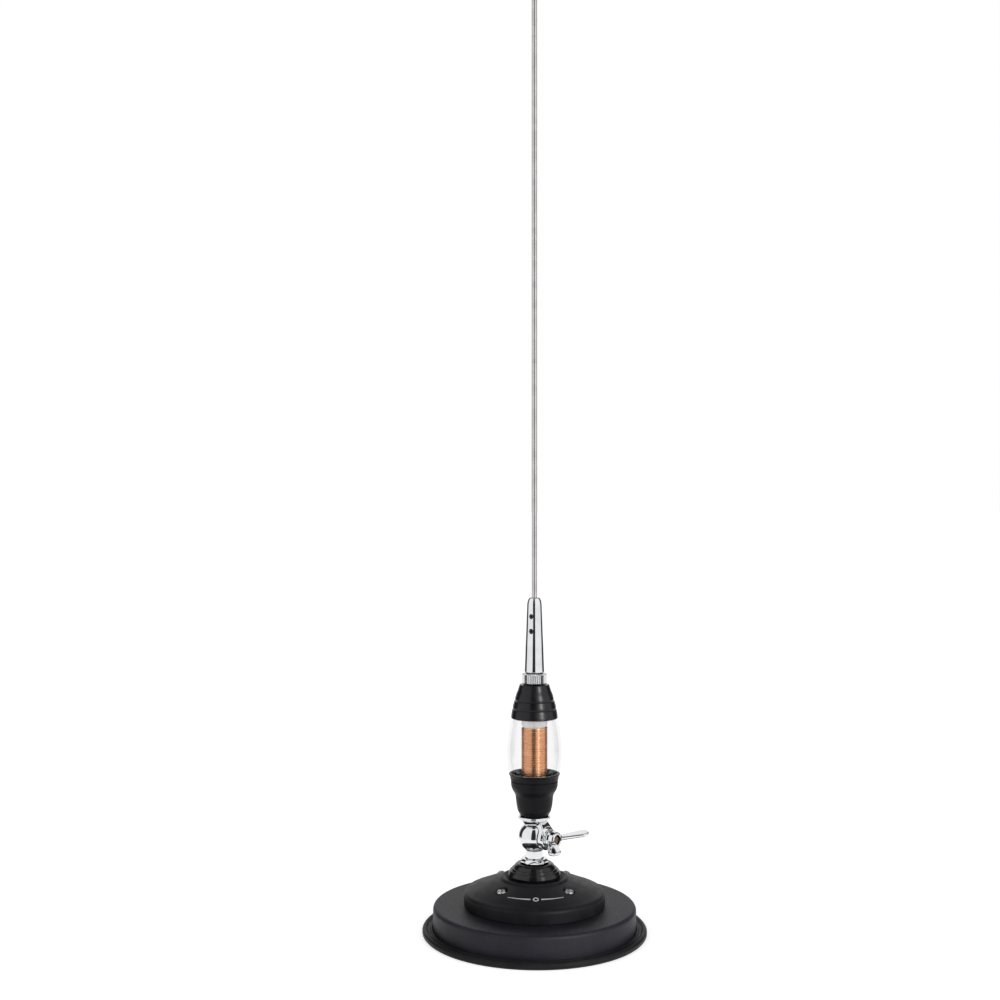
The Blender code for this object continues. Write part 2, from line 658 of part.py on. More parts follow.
def grub_place(height):
    return (
        Matrix.Translation((0, 0, height * MM))
        @ Matrix.Rotation(math.radians(GRUB_HEADING), 4, "Z")
        @ Matrix.Rotation(math.radians(90), 4, "Y")
    )


def whip_holder():
    """The tapered holder: a blind thread below, the whip's bore above and two cross holes."""
    whip_bore = WHIP_RADIUS + GAP
    outline = [(3.3, HOLDER_BOTTOM), (5.9, HOLDER_BOTTOM), (6.4, HOLDER_BOTTOM + 0.6), (4.75, 212.4)]
    outline += [(4.4, 214.4), (3.9, 215.8), (3.3, HOLDER_TOP), (whip_bore, HOLDER_TOP)]
    outline += [(whip_bore, 175.6), (0, 175.6)]
    holder = turned("whip_holder", [(0, 174.6), (3.3, 174.6)] + outline, COARSE, "chrome")
    holes = bmesh.new()
    for height in GRUB_HEIGHTS.values():
        add_turned(holes, box_outline(0, 1.55, 1.2, 9.0), 16, grub_place(height))
    cut(holder, as_object("grub_holes", holes, "chrome"))
    return holder


def grub_screws():
    """Two socket set screws that grip the whip."""
    made = []
    for which, height in GRUB_HEIGHTS.items():
        outline = [(0, 2.3), (0.8, 2.3), (1.25, 2.7), (1.25, 4.5), (1.05, 4.7), (0, 4.7)]
        screw = turned("grub_screw_" + which, outline, 16, "steel", grub_place(height))
        cut(screw, hexagon("socket_" + which, 0.8, 3.5, 6.0, "steel", grub_place(height)))
        made.append(screw)
    return made


def whip_parts():
    rod = [(0, WHIP_BOTTOM), (1.3, WHIP_BOTTOM), (WHIP_RADIUS, WHIP_BOTTOM + 0.6), (WHIP_RADIUS, WHIP_TOP)]
    rod += [(0, WHIP_TOP)]
    tip_radius = 2.7
    centre = (0, WHIP_TOP + GAP + tip_radius)
    tip = [(0, WHIP_TOP + GAP)] + arc(centre, tip_radius, -60, 60, 6) + [(0, centre[1] + tip_radius)]
    return [
        turned("whip_rod", rod, 16, "steel"),
        turned("whip_tip", tip, 16, "chrome"),
    ]


# ---- assembly --------------------------------------------------------------------------------


def body(name, place, parent=None):
    """An empty on a body's joint axis."""
    empty = bpy.data.objects.new(name, None)
    empty.empty_display_size = 10 * MM
    bpy.context.scene.collection.objects.link(empty)
    empty.parent = parent
    empty.matrix_world = place
    bpy.context.view_layer.update()
    return empty


def attach(frame, *pieces):
    """Parents pieces to a body's empty and leaves them where they are."""
    for piece in pieces:
        piece.parent = frame
        piece.matrix_parent_inverse = frame.matrix_world.inverted()


def height(z):
    return Matrix.Translation((0, 0, z * MM))


def build():
    clear_scene()
    base = body("base_frame", height(0))
    plug = body("plug_sleeve_axis", PLUG_FRAME @ height(PLUG_START), base)
    mount = body("mount_swivel_axis", height(CONE_TOP), base)
    washer = body("washer_slide_axis", PIVOT_FRAME @ height(WASHER_FACES[0]), mount)
    wings = body("wing_nut_axis", PIVOT_FRAME @ height(WING_BOSS_FACES[0]), washer)
    coil = body("knuckle_tilt_axis", PIVOT_FRAME, mount)
    ring = body("lock_ring_axis", height(LOCK_RING_FACES[0]), coil)
    holder = body("holder_axis", height(HOLDER_BOTTOM), coil)
    whip = body("whip_slide_axis", height(WHIP_BOTTOM), holder)

    holes = [(0, 10), (1.9, 10), (1.9, SCREW_SEAT), (4.2, SCREW_SEAT), (4.2, 45), (0, 45)]
    screw_holes = at_screws("screw_holes", holes, COARSE)
    attach(base, rubber_boot(), magnet_cup(screw_holes), *magnet_parts(), base_lid(screw_holes))
    attach(base, *lid_screws(), *centre_stud_parts(), cone_boot())
    attach(base, coax_cable(), cable_grommet(), *plug_parts())
    attach(plug, plug_sleeve())
    attach(mount, base_hex_nut(), lower_knuckle(), pivot_bolt())
    attach(washer, clamp_washer())
    attach(wings, wing_nut())
    attach(coil, upper_knuckle(), lower_cup(), clear_bulb(), *bulb_seals(), coil_former())
    attach(coil, copper_coil(), *coil_terminals(), upper_cap(), top_stud())
    attach(ring, lock_ring())
    attach(holder, whip_holder(), *grub_screws())
    attach(whip, *whip_parts())


build()
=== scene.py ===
"""The looks of a mobile whip antenna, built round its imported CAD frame.

Lengths are in millimetres, and MM turns them into metres. Places come from the CAD nodes: span()
measures a node along its own axis, and each outline below is drawn as offsets from that.
"""

import itertools
import json
from math import atan2, cos, hypot, pi, radians, sin, tan, tau

import bmesh
import bpy
import numpy as np
from mathutils import Matrix, Vector


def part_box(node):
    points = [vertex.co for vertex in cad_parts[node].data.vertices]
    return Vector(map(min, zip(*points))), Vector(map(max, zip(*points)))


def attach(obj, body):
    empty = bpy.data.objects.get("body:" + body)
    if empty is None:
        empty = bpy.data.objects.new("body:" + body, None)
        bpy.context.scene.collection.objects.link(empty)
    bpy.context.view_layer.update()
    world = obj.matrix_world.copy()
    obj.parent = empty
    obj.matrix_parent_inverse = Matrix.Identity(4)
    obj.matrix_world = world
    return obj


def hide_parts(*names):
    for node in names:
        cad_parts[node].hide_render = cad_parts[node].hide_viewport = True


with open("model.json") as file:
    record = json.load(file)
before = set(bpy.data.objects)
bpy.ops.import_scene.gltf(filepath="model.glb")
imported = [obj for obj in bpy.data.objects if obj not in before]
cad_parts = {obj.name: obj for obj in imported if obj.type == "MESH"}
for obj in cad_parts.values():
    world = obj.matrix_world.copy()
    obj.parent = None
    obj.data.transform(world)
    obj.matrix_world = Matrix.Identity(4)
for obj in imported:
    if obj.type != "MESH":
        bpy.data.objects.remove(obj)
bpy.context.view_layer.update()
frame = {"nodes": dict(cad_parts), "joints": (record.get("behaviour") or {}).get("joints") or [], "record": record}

MM = 0.001
UPRIGHT = Matrix.Identity(4)
SIDES = 144  # round a turned piece
SMALL_SIDES = 64  # round a small one
FILLET_STEPS = 5
FILLET_SHARE = 0.48  # of a side, at most, that a fillet at one of its ends takes up
SHARP_ANGLE = 32  # degrees between two faces that look like an edge
GAP = 0.3  # between two pieces that meet

RECORD = frame["record"]
BODY_OF = {node: body for body, nodes in RECORD["behaviour"]["bodies"].items() for node in nodes}
JOINTS = {joint["name"]: joint for joint in frame["joints"]}


# ---- places, all from the frame ----


def frame_along(axis, origin):
    """A frame whose local Z runs along axis and whose local X points as nearly up as it can."""
    along = Vector(axis).normalized()
    up = Vector((0, 0, 1)) if abs(along.z) < 0.9 else Vector((1, 0, 0))
    across = (up - along * up.dot(along)).normalized()
    turn = Matrix((across, along.cross(across), along)).transposed().to_4x4()
    return Matrix.Translation(origin) @ turn


def centre(node):
    low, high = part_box(node)
    return (low + high) / 2


def points_of(node, place=UPRIGHT):
    """A CAD node's points in mm, in place's frame."""
    to_place = place.inverted()
    return [(to_place @ vert.co) / MM for vert in frame["nodes"][node].data.vertices]


def span(node, place=UPRIGHT):
    """A CAD node's lowest and highest height and its largest radius, about place's Z."""
    points = points_of(node, place)
    heights = [point.z for point in points]
    return min(heights), max(heights), max(hypot(point.x, point.y) for point in points)


def over(node):
    """A frame that stands on the floor under a CAD node's centre."""
    middle = centre(node)
    return Matrix.Translation((middle.x, middle.y, 0))


PIVOT = frame_along(JOINTS["knuckle_tilt"]["axis"], JOINTS["knuckle_tilt"]["pos_m"])
PIVOT_HEIGHT = PIVOT.translation.z / MM
LEAD_EXIT = frame_along((0, 1, 0), (0, 0, centre("cable_grommet").z))
PLUG = frame_along((0, 1, 0), (0, 0, centre("plug_body").z))


# ---- meshes ----


def shade(data):
    data.shade_smooth()
    data.set_sharp_from_angle(angle=radians(SHARP_ANGLE))


def even_normals(obj):
    """Lets broad faces keep their own normals, so that a fillet doesn't bend the wall beside it."""
    modifier = obj.modifiers.new("even_normals", "WEIGHTED_NORMAL")
    modifier.keep_sharp = True
    modifier.weight = 90


def add_object(name, data):
    obj = bpy.data.objects.new(name, data)
    bpy.context.scene.collection.objects.link(obj)
    return obj


def mesh_object(name, verts, faces, place=UPRIGHT):
    """A smooth-shaded object from points in mm in place's frame, with its faces pointing out."""
    data = bpy.data.meshes.new(name)
    data.from_pydata([place @ (Vector(vert) * MM) for vert in verts], [], faces)
    mesh = bmesh.new()
    mesh.from_mesh(data)
    bmesh.ops.recalc_face_normals(mesh, faces=mesh.faces)
    mesh.to_mesh(data)
    mesh.free()
    shade(data)
    obj = add_object(name, data)
    even_normals(obj)
    return obj


def rounded(outline):
    """An outline whose corners with a third number, a radius, are rounded with a circular arc."""
    points = []
    for i, corner in enumerate(outline):
        here = Vector(corner[:2])
        if len(corner) < 3:
            points.append(tuple(here))
            continue
        before = Vector(outline[i - 1][:2]) - here
        after = Vector(outline[(i + 1) % len(outline)][:2]) - here
        half = before.angle(after) / 2
        reach = min(corner[2] / tan(half), FILLET_SHARE * before.length, FILLET_SHARE * after.length)
        radius = reach * tan(half)
        middle = here + (before.normalized() + after.normalized()).normalized() * radius / sin(half)
        start = here + before.normalized() * reach - middle
        end = here + after.normalized() * reach - middle
        swing = start.angle_signed(end)
        for step in range(FILLET_STEPS + 1):
            points.append(tuple(middle + Matrix.Rotation(-swing * step / FILLET_STEPS, 2) @ start))
    return points


def bezier(a, b, c, d, steps):
    """Points of a cubic Bezier curve from a to d, with handles b and c."""
    points = []
    for t in (i / steps for i in range(steps + 1)):
        weights = ((1 - t) ** 3, 3 * t * (1 - t) ** 2, 3 * t * t * (1 - t), t**3)
        points.append(tuple(sum(w * p[k] for w, p in zip(weights, (a, b, c, d))) for k in range(len(a))))
    return points


def rows(radius, low, high, count):
    """Evenly spaced points up a wall, for a pattern that needs them."""
    return [(radius, low + (high - low) * i / count) for i in range(count + 1)]


def offsets(radius, height, *corners):
    """Outline corners given as offsets from a radius and a height. A third number is a fillet."""
    return [(radius + out, height + up, *fillet) for out, up, *fillet in corners]


def skin(rings, capped=False):
    """Faces from each ring of point numbers to the next. A ring may repeat one number, as a tip."""
    faces = []
    for lower, upper in zip(rings, rings[1:]):
        for k in range(len(lower)):
            ahead = (k + 1) % len(lower)
            corners = dict.fromkeys((lower[k], lower[ahead], upper[ahead], upper[k]))
            if len(corners) > 2:
                faces.append(tuple(corners))
    return faces + [tuple(rings[0]), tuple(rings[-1])] if capped else faces


def lathe(name, outline, place=UPRIGHT, sides=SIDES):
    """Spins an outline of (radius, height) round place's Z.

    An outline that starts and ends on the axis is closed there, and any other is joined into a ring.
    """
    verts, rings = [], []
    for radius, height in rounded(outline):
        if radius < 1e-6:
            rings.append([len(verts)] * sides)
            verts.append((0, 0, height))
            continue
        rings.append(range(len(verts), len(verts) + sides))
        for angle in (tau * side / sides for side in range(sides)):
            verts.append((radius * cos(angle), radius * sin(angle), height))
    if outline[0][0] or outline[-1][0]:
        rings.append(rings[0])
    return mesh_object(name, verts, skin(rings), place)


def ripple(piece, place, depth_at):
    """Moves each point towards place's axis by depth_at(angle, height, radius)."""
    to_axis = place.inverted()
    for vert in piece.data.vertices:
        local = (to_axis @ vert.co) / MM
        radius = hypot(local.x, local.y)
        depth = depth_at(atan2(local.y, local.x), local.z, radius)
        if depth:
            local.xy *= (radius - depth) / radius
            vert.co = place @ (local * MM)
    shade(piece.data)


def peaks(turns):
    """A triangle wave from 1 to 0 and back over one turn."""
    return abs(turns % 1 - 0.5) * 2


def thread(piece, place, low, high, core, pitch, depth):
    """Rolls a thread between two heights, into what is wider than core."""

    def groove(angle, height, radius):
        on_shank = low < height < high and radius > core
        return depth * peaks(height / pitch - angle / tau) if on_shank else 0.0

    ripple(piece, place, groove)


def carve(target, cutters, operation="DIFFERENCE"):
    """Cuts the cutters out of target, or joins them to it, and removes them."""
    target.modifiers.clear()
    for cutter in cutters:
        modifier = target.modifiers.new(operation, "BOOLEAN")
        modifier.operation = operation
        modifier.solver = "EXACT"
        modifier.object = cutter
    bpy.context.view_layer.update()
    result = target.evaluated_get(bpy.context.evaluated_depsgraph_get())
    data = bpy.data.meshes.new_from_object(result)
    target.modifiers.clear()
    target.data = data
    shade(data)
    even_normals(target)
    for cutter in cutters:
        bpy.data.objects.remove(cutter, do_unlink=True)


def box(name, low, high, place=UPRIGHT):
    """A block, used only as a cutter."""
    verts = list(itertools.product(*zip(low, high)))
    faces = [(0, 1, 3, 2), (4, 6, 7, 5), (0, 4, 5, 1), (2, 3, 7, 6), (0, 2, 6, 4), (1, 5, 7, 3)]
    return mesh_object(name, verts, faces, place)


def tube(name, path, radius, sides):
    """A round wire or hose along a path, with domed ends."""
    points = [Vector(point) for point in path]
    along = [(b - a).normalized() for a, b in zip(points, points[1:])]
    along = [along[0]] + [(a + b).normalized() for a, b in zip(along, along[1:])] + [along[-1]]
    dome = radius * 0.4
    points = [points[0] - along[0] * dome, *points, points[-1] + along[-1] * dome]
    along = [along[0], *along, along[-1]]
    reaches = [radius * 0.6] + [radius] * len(path) + [radius * 0.6]
    side = along[0].orthogonal().normalized()
    verts = []
    for point, direction, reach in zip(points, along, reaches):
        side = (side - direction * side.dot(direction)).normalized()
        other = direction.cross(side)
        for angle in (tau * k / sides for k in range(sides)):
            verts.append(point + (side * cos(angle) + other * sin(angle)) * reach)
    rings = [range(start, start + sides) for start in range(0, len(verts), sides)]
    return mesh_object(name, verts, skin(rings, capped=True))


# ---- solids from signed distances, for the cast pieces whose shapes run into one another ----

MARGIN = 0.5  # of empty grid round a meshed solid
EDGE = 0.2  # turned outlines are drawn this much smaller and grown back, which rounds them


def cut(a, b, reach):
    """The part of solid a that lies inside b, rounded over reach where their faces meet."""
    overlap = np.maximum(reach - np.abs(a - b), 0)
    return np.maximum(a, b) + overlap * overlap / (4 * reach)


def join(a, b, reach):
    """Both solids, with a fillet between them."""
    return -cut(-a, -b, reach)


def outline_distance(x, y, outline):
    """Signed distance from points to a closed outline, negative inside it."""
    nearest = np.full(x.shape, 1e9)
    inside = np.zeros(x.shape, bool)
    for (ax, ay), (bx, by) in zip(outline, outline[1:] + outline[:1]):
        dx, dy = bx - ax, by - ay
        share = np.clip(((x - ax) * dx + (y - ay) * dy) / (dx * dx + dy * dy), 0, 1)
        nearest = np.minimum(nearest, (x - ax - dx * share) ** 2 + (y - ay - dy * share) ** 2)
        if dy:
            inside ^= ((ay <= y) != (by <= y)) & (x < ax + (y - ay) * dx / dy)
    return np.where(inside, -1, 1) * np.sqrt(nearest)


def gradient(distance, points):
    """The slope of a distance at each point, which points straight out of the solid."""
    nudge = 0.02
    steps = np.eye(3) * nudge
    return np.stack([distance(*(points + s).T) - distance(*(points - s).T) for s in steps], 1) / (2 * nudge)


def solid_from_distance(name, distance, low, high, step, place):
    """Meshes the solid where distance(x, y, z) is negative and that lies between low and high.

    These are surface nets. Each grid cell that the surface crosses gets one point, which then slides
    along the gradient until it lies on the surface. The gradient there becomes its normal.
    """
    low, high = np.array(low) - MARGIN, np.array(high) + MARGIN
    axes = [np.arange(a, b + step, step) for a, b in zip(low, high)]
    values = distance(*np.meshgrid(*axes, indexing="ij"))
    inside = values < 0
    size = np.array(values.shape) - 1
    corners = [np.array(corner) for corner in itertools.product((0, 1), repeat=3)]
    filled = sum(inside[tuple(slice(c, c + s) for c, s in zip(corner, size))] * 1 for corner in corners)
    cells = np.argwhere((filled > 0) & (filled < 8))
    number = np.full(size, -1)
    number[tuple(cells.T)] = np.arange(len(cells))

    total = np.zeros((len(cells), 3))
    crossings = np.zeros((len(cells), 1))
    units = np.eye(3, dtype=int)
    for axis, corner in itertools.product(range(3), corners):
        if corner[axis]:
            continue
        start = values[tuple((cells + corner).T)]
        end = values[tuple((cells + corner + units[axis]).T)]
        crossed = (start < 0) != (end < 0)
        share = start / np.where(crossed, start - end, 1)
        total += crossed[:, None] * (corner + share[:, None] * units[axis])
        crossings += crossed[:, None]
    points = (cells + total / crossings) * step + low
    for _ in range(4):
        slope = gradient(distance, points)
        points -= slope * (distance(*points.T) / np.maximum((slope**2).sum(1), 0.1))[:, None]

    faces = []
    for axis in range(3):
        u, w = (axis + 1) % 3, (axis + 2) % 3
        near, far = np.delete(inside, -1, axis), np.delete(inside, 0, axis)
        edges = np.argwhere(near != far)
        edges = edges[(edges[:, u] > 0) & (edges[:, w] > 0) & (edges < size).all(1)]
        around = (0 * units[u], units[u], units[u] + units[w], units[w])
        quads = np.stack([number[tuple((edges - shift).T)] for shift in around], 1)
        inward = ~inside[tuple(edges.T)]
        quads[inward] = quads[inward][:, ::-1]
        faces += quads.tolist()

    data = bpy.data.meshes.new(name)
    data.from_pydata([place @ (Vector(point) * MM) for point in points], [], faces)
    data.shade_smooth()
    turn = np.array(place.to_3x3())
    normals = gradient(distance, points) @ turn.T
    data.normals_split_custom_set_from_vertices(normals / np.linalg.norm(normals, axis=1)[:, None])
    return add_object(name, data)


# ---- materials ----


class Graph:
    """Short ways to add nodes to a shader tree. A value may be a number, a colour or a socket."""

    def __init__(self, tree):
        self.tree = tree

    def feed(self, socket, value):
        if isinstance(value, bpy.types.NodeSocket):
            self.tree.links.new(value, socket)
        elif hasattr(value, "__len__") and len(value) == 3 and len(socket.default_value) == 4:
            socket.default_value = (*value, 1)
        else:
            socket.default_value = value

    def node(self, kind, inputs=(), **settings):
        made = self.tree.nodes.new("ShaderNode" + kind)
        for key, value in settings.items():
            setattr(made, key, value)
        for key, value in dict(inputs).items():
            self.feed(made.inputs[key], value)
        return made

    def result(self, kind, inputs=(), output=0, **settings):
        return self.node(kind, inputs, **settings).outputs[output]

    def math(self, operation, *values):
        return self.result("Math", enumerate(values), operation=operation)

    def times(self, first, second):
        return self.math("MULTIPLY", first, second)

    def rest(self, share):
        """What a share leaves of 1."""
        return self.math("SUBTRACT", 1.0, share)

    def vector(self, operation, *values, output=0):
        return self.result("VectorMath", enumerate(values), output, operation=operation)

    def ramp(self, value, start, end, low=0.0, high=1.0):
        """Eases from low to high as value goes from start to end, and stays level outside them."""
        limits = {0: value, 1: start, 2: end, 3: low, 4: high}
        return self.result("MapRange", limits, interpolation_type="SMOOTHSTEP")

    def mix(self, share, first, second):
        return self.result("Mix", {0: share, 6: first, 7: second}, 2, data_type="RGBA")

    def show(self, output, share, first, second):
        """Sends a mix of two shaders to an output node."""
        self.feed(output.inputs["Surface"], self.result("MixShader", {0: share, 1: first, 2: second}))


class Finish(Graph):
    """A Principled material in the making. Its patterns run in the object's own space, in mm."""

    def __init__(self, name, **inputs):
        self.material = bpy.data.materials.new(name)
        self.material.use_nodes = True
        super().__init__(self.material.node_tree)
        self.shader = self.tree.nodes["Principled BSDF"]
        self.output = self.tree.nodes["Material Output"]
        for key, value in inputs.items():
            self.feed(self.shader.inputs[key.replace("_", " ")], value)
        metres = self.result("TexCoord", output="Object")
        self.place = self.result("VectorMath", {0: metres, 3: 1 / MM}, operation="SCALE")
        self.normal = None

    def spread(self, size):
        """The place divided by a size in mm, or by one size for each axis."""
        return self.vector("DIVIDE", self.place, size if hasattr(size, "__len__") else (size,) * 3)

    def noise(self, size, detail=2.0):
        return self.result("TexNoise", {"Vector": self.spread(size), "Scale": 1.0, "Detail": detail})

    def patches(self, size, detail, start, end, low=0.0, high=1.0):
        """Noise, eased from low to high as it goes from start to end."""
        return self.ramp(self.noise(size, detail), start, end, low, high)

    def spots(self, size):
        """0 at the middle of each rounded cell, rising to its rim."""
        return self.result("TexVoronoi", {"Vector": self.spread(size), "Scale": 1.0}, "Distance")

    def edges(self, width):
        """1 on edges and 0 away from them, with the surface normal rounded over the edge."""
        bevel = self.result("Bevel", {"Radius": width * MM}, samples=6)
        flat = self.result("NewGeometry", output="Normal")
        return self.ramp(self.vector("DOT_PRODUCT", bevel, flat, output="Value"), 0.995, 0.90)

    def crevice(self, reach):
        """0 in the open, rising to 1 deep in a groove or a corner narrower than reach mm."""
        open_sky = self.result("AmbientOcclusion", {"Distance": reach * MM}, "AO", samples=8)
        return self.rest(self.ramp(open_sky, 0.25, 0.85))

    def emboss(self, height, depth):
        """Raises the surface by depth mm where height is 1."""
        bump = {"Height": height, "Distance": depth * MM, "Strength": 1.0}
        if self.normal:
            bump["Normal"] = self.normal
        self.normal = self.result("Bump", bump)

    def done(self, colour, roughness):
        self.feed(self.shader.inputs["Base Color"], colour)
        self.feed(self.shader.inputs["Roughness"], roughness)
        if self.normal:
            self.feed(self.shader.inputs["Normal"], self.normal)
        return self.material


def moulded(name, dark, light, roughness, grain, depth, gloss=0.5, worn=(0.10, 0.10, 0.11)):
    """Plastic or rubber: two tones that drift, a moulded grain, faint rubs and paler edges."""
    look = Finish(name, Specular_IOR_Level=gloss)
    colour = look.mix(look.patches(11.0, 4.0, 0.35, 0.65), dark, light)
    colour = look.mix(look.patches(0.5, 1.0, 0.70, 0.80, 0.0, 0.25), colour, worn)
    wear = look.times(look.edges(0.25), look.patches(1.6, 3.0, 0.45, 0.75, 0.05, 0.6))
    look.emboss(look.noise(grain, 3.0), depth)
    look.emboss(look.noise(9.0, 1.0), depth * 0.8)
    return look.done(look.mix(wear, colour, worn), look.patches(5.0, 3.0, 0.3, 0.7, *roughness))


def textured_paint():
    """Wrinkled powder coat on the steel cup: small rounded bumps, with painted shade in the hollows between them.
    """
    look = Finish("textured_paint", Specular_IOR_Level=0.26)
    bumps = look.spots(0.9)
    wrinkle = look.noise(0.45, 3.0)
    cloud = look.patches(14.0, 4.0, 0.35, 0.65)
    colour = look.mix(cloud, (0.0082, 0.0076, 0.0128), (0.0122, 0.0112, 0.0182))
    # painted shade: the hollows between the bumps are darkened
    colour = look.mix(look.ramp(bumps, 0.1, 0.7, 0.0, 0.45), colour, (0.005, 0.005, 0.008))
    wear = look.times(look.edges(0.5), look.patches(2.2, 4.0, 0.5, 0.75, 0.0, 0.7))
    colour = look.mix(wear, colour, (0.12, 0.12, 0.13))
    look.emboss(look.ramp(bumps, 0.15, 0.75, 1.0, 0.0), 0.05)
    look.emboss(wrinkle, 0.06)
    return look.done(colour, look.ramp(wrinkle, 0.3, 0.7, 0.42, 0.60))


def metal(name, dark, light, roughness, grain, depth, stains=0.15, stain=(0.20, 0.19, 0.18), painted_shade=0.7):
    """Plated or bare metal: grain sizes along X, Y and Z give its drawing or turning lines.

    Painted shade, taken from an occlusion mask, darkens grooves and tight corners.
    """
    look = Finish(name, Metallic=1.0)
    cloud = look.patches(6.0, 4.0, 0.3, 0.7)
    colour = look.mix(cloud, dark, light)
    colour = look.mix(look.patches(1.4, 5.0, 0.62, 0.78, 0.0, stains), colour, stain)
    colour = look.mix(look.times(look.edges(0.18), 0.5), colour, light)
    # painted shade: the colour darkens where the occlusion mask finds a groove or a tight corner
    if painted_shade:
        colour = look.mix(look.times(look.crevice(1.3), painted_shade), colour, (0.035, 0.033, 0.031))
    lines = look.noise(grain, 3.0)
    look.emboss(lines, depth)
    smear = look.math("ADD", look.times(lines, 0.5), look.times(cloud, 0.5))
    return look.done(colour, look.ramp(smear, 0.25, 0.75, *roughness))


def enamelled_copper():
    """Copper wire whose enamel fills the gaps between turns, with painted shade in those gaps, each turn a little
    different.
    """
    look = Finish("enamelled_copper", Metallic=0.88)
    place = look.result("TexCoord", output="Object")
    outwards = look.vector("NORMALIZE", look.vector("MULTIPLY", place, (1, 1, 0)))
    to_world = {"vector_type": "NORMAL", "convert_from": "OBJECT", "convert_to": "WORLD"}
    outwards = look.result("VectorTransform", {0: outwards}, **to_world)
    wire = look.result("NewGeometry", output="Normal")
    levelled = look.result("Mix", {0: 0.86, 4: wire, 5: outwards}, 1, data_type="VECTOR")
    look.normal = look.vector("NORMALIZE", levelled)
    turns = look.patches((60.0, 60.0, 1.1), 1.0, 0.3, 0.7)
    colour = look.mix(turns, (0.74, 0.32, 0.15), (0.90, 0.48, 0.27))
    dull = look.patches((9.0, 9.0, 7.0), 2.0, 0.55, 0.75, 0.0, 0.22)
    colour = look.mix(dull, colour, (0.52, 0.22, 0.14))
    # painted shade: the colour darkens in the gaps between turns, from an occlusion mask
    colour = look.mix(look.times(look.crevice(0.7), 0.35), colour, (0.30, 0.10, 0.05))
    look.emboss(look.noise((3.0, 3.0, 0.6), 2.0), 0.003)
    return look.done(colour, look.patches(4.0, 2.0, 0.3, 0.7, 0.20, 0.28))


def clear_plastic():
    """The bulb: light passes straight through it, with reflections that grow towards its outline."""
    look = Finish("clear_plastic", Transmission_Weight=0.0, IOR=1.49)
    look.emboss(look.noise((9.0, 9.0, 14.0), 2.0), 0.03)
    depth = look.math("POWER", look.result("LayerWeight", {"Blend": 0.5}, "Facing"), 2.2)
    tint = look.mix(depth, (0.962, 0.960, 0.963), (0.935, 0.935, 0.940))
    through = look.result("BsdfTransparent", {"Color": tint})
    polish = look.patches(2.0, 3.0, 0.3, 0.7, 0.03, 0.07)
    look.done((0.9, 0.9, 0.9), polish)
    gloss = {"Color": (1, 1, 1), "Roughness": polish, "Normal": look.normal}
    mirror = look.result("BsdfGlossy", gloss)
    fresnel = look.result("Fresnel", {"IOR": 1.30, "Normal": look.normal})
    scuffs = look.patches(3.0, 5.0, 0.45, 0.80, 0.0, 0.015)
    share = look.math("ADD", look.times(look.math("MINIMUM", fresnel, 0.35), 0.25), scuffs)
    look.show(look.output, share, through, mirror)
    return look.material


def printed_ink():
    """White pad-print ink, thin enough to show the grain below it."""
    look = Finish("printed_ink", Specular_IOR_Level=0.3)
    gaps = look.patches(0.35, 3.0, 0.58, 0.75, 0.0, 0.5)
    look.emboss(look.noise(0.3, 2.0), 0.012)
    colour = look.mix(gaps, (0.62, 0.62, 0.64), (0.20, 0.20, 0.21))
    return look.done(colour, look.ramp(gaps, 0.0, 0.5, 0.45, 0.6))


def ferrite():
    """Sintered magnet: matt grey-black with open pores and small chips."""
    look = Finish("ferrite_magnet", Specular_IOR_Level=0.4)
    pores = look.ramp(look.spots(0.6), 0.0, 0.35)
    colour = look.mix(look.noise(5.0, 4.0), (0.035, 0.035, 0.038), (0.060, 0.060, 0.063))
    look.emboss(pores, 0.05)
    # painted shade: the pores are coloured near black, as if shaded inside
    return look.done(look.mix(pores, (0.02, 0.02, 0.02), colour), look.ramp(pores, 0.0, 1.0, 0.75, 0.55))


def white_plastic():
    """Milky moulded plastic with a soft gloss, and a faint painted glow that stands in for the light soaking
    through it.
    """
    # painted light: a faint emission makes the plastic glow
    glow = {"Emission_Color": (1.0, 0.97, 0.95), "Emission_Strength": 0.13}
    look = Finish("white_plastic", Coat_Weight=0.3, **glow)
    colour = look.mix(look.noise(4.0, 3.0), (0.84, 0.80, 0.77), (0.93, 0.91, 0.89))
    look.emboss(look.noise(0.4, 2.0), 0.01)
    return look.done(colour, look.patches(1.5, 3.0, 0.3, 0.7, 0.22, 0.40))


# a darker and a lighter tone each
CHROME_TONES = ((0.74, 0.75, 0.77), (0.82, 0.82, 0.84))
STEEL_TONES = ((0.46, 0.46, 0.47), (0.62, 0.62, 0.63))
WHIP_TONES = ((0.58, 0.55, 0.55), (0.70, 0.67, 0.67))
BRASS_TONES = ((0.66, 0.46, 0.20), (0.80, 0.60, 0.30))
ZINC_TONES = ((0.11, 0.07, 0.05), (0.24, 0.17, 0.12))
NICKEL_TONES = ((0.66, 0.64, 0.60), (0.80, 0.78, 0.74))
BURNT_TONES = ((0.10, 0.09, 0.08), (0.22, 0.20, 0.17))

BOOT_TONES = ((0.006, 0.006, 0.007), (0.009, 0.009, 0.010))
LID_TONES = ((0.0068, 0.0062, 0.0076), (0.0096, 0.0089, 0.0108))
CAP_TONES = ((0.0045, 0.0045, 0.0060), (0.0075, 0.0075, 0.0098))
CUP_TONES = ((0.0040, 0.0040, 0.0054), (0.0064, 0.0064, 0.0086))
CONE_TONES = ((0.005, 0.005, 0.006), (0.009, 0.009, 0.010))
LEAD_TONES = ((0.012, 0.012, 0.013), (0.020, 0.020, 0.021))

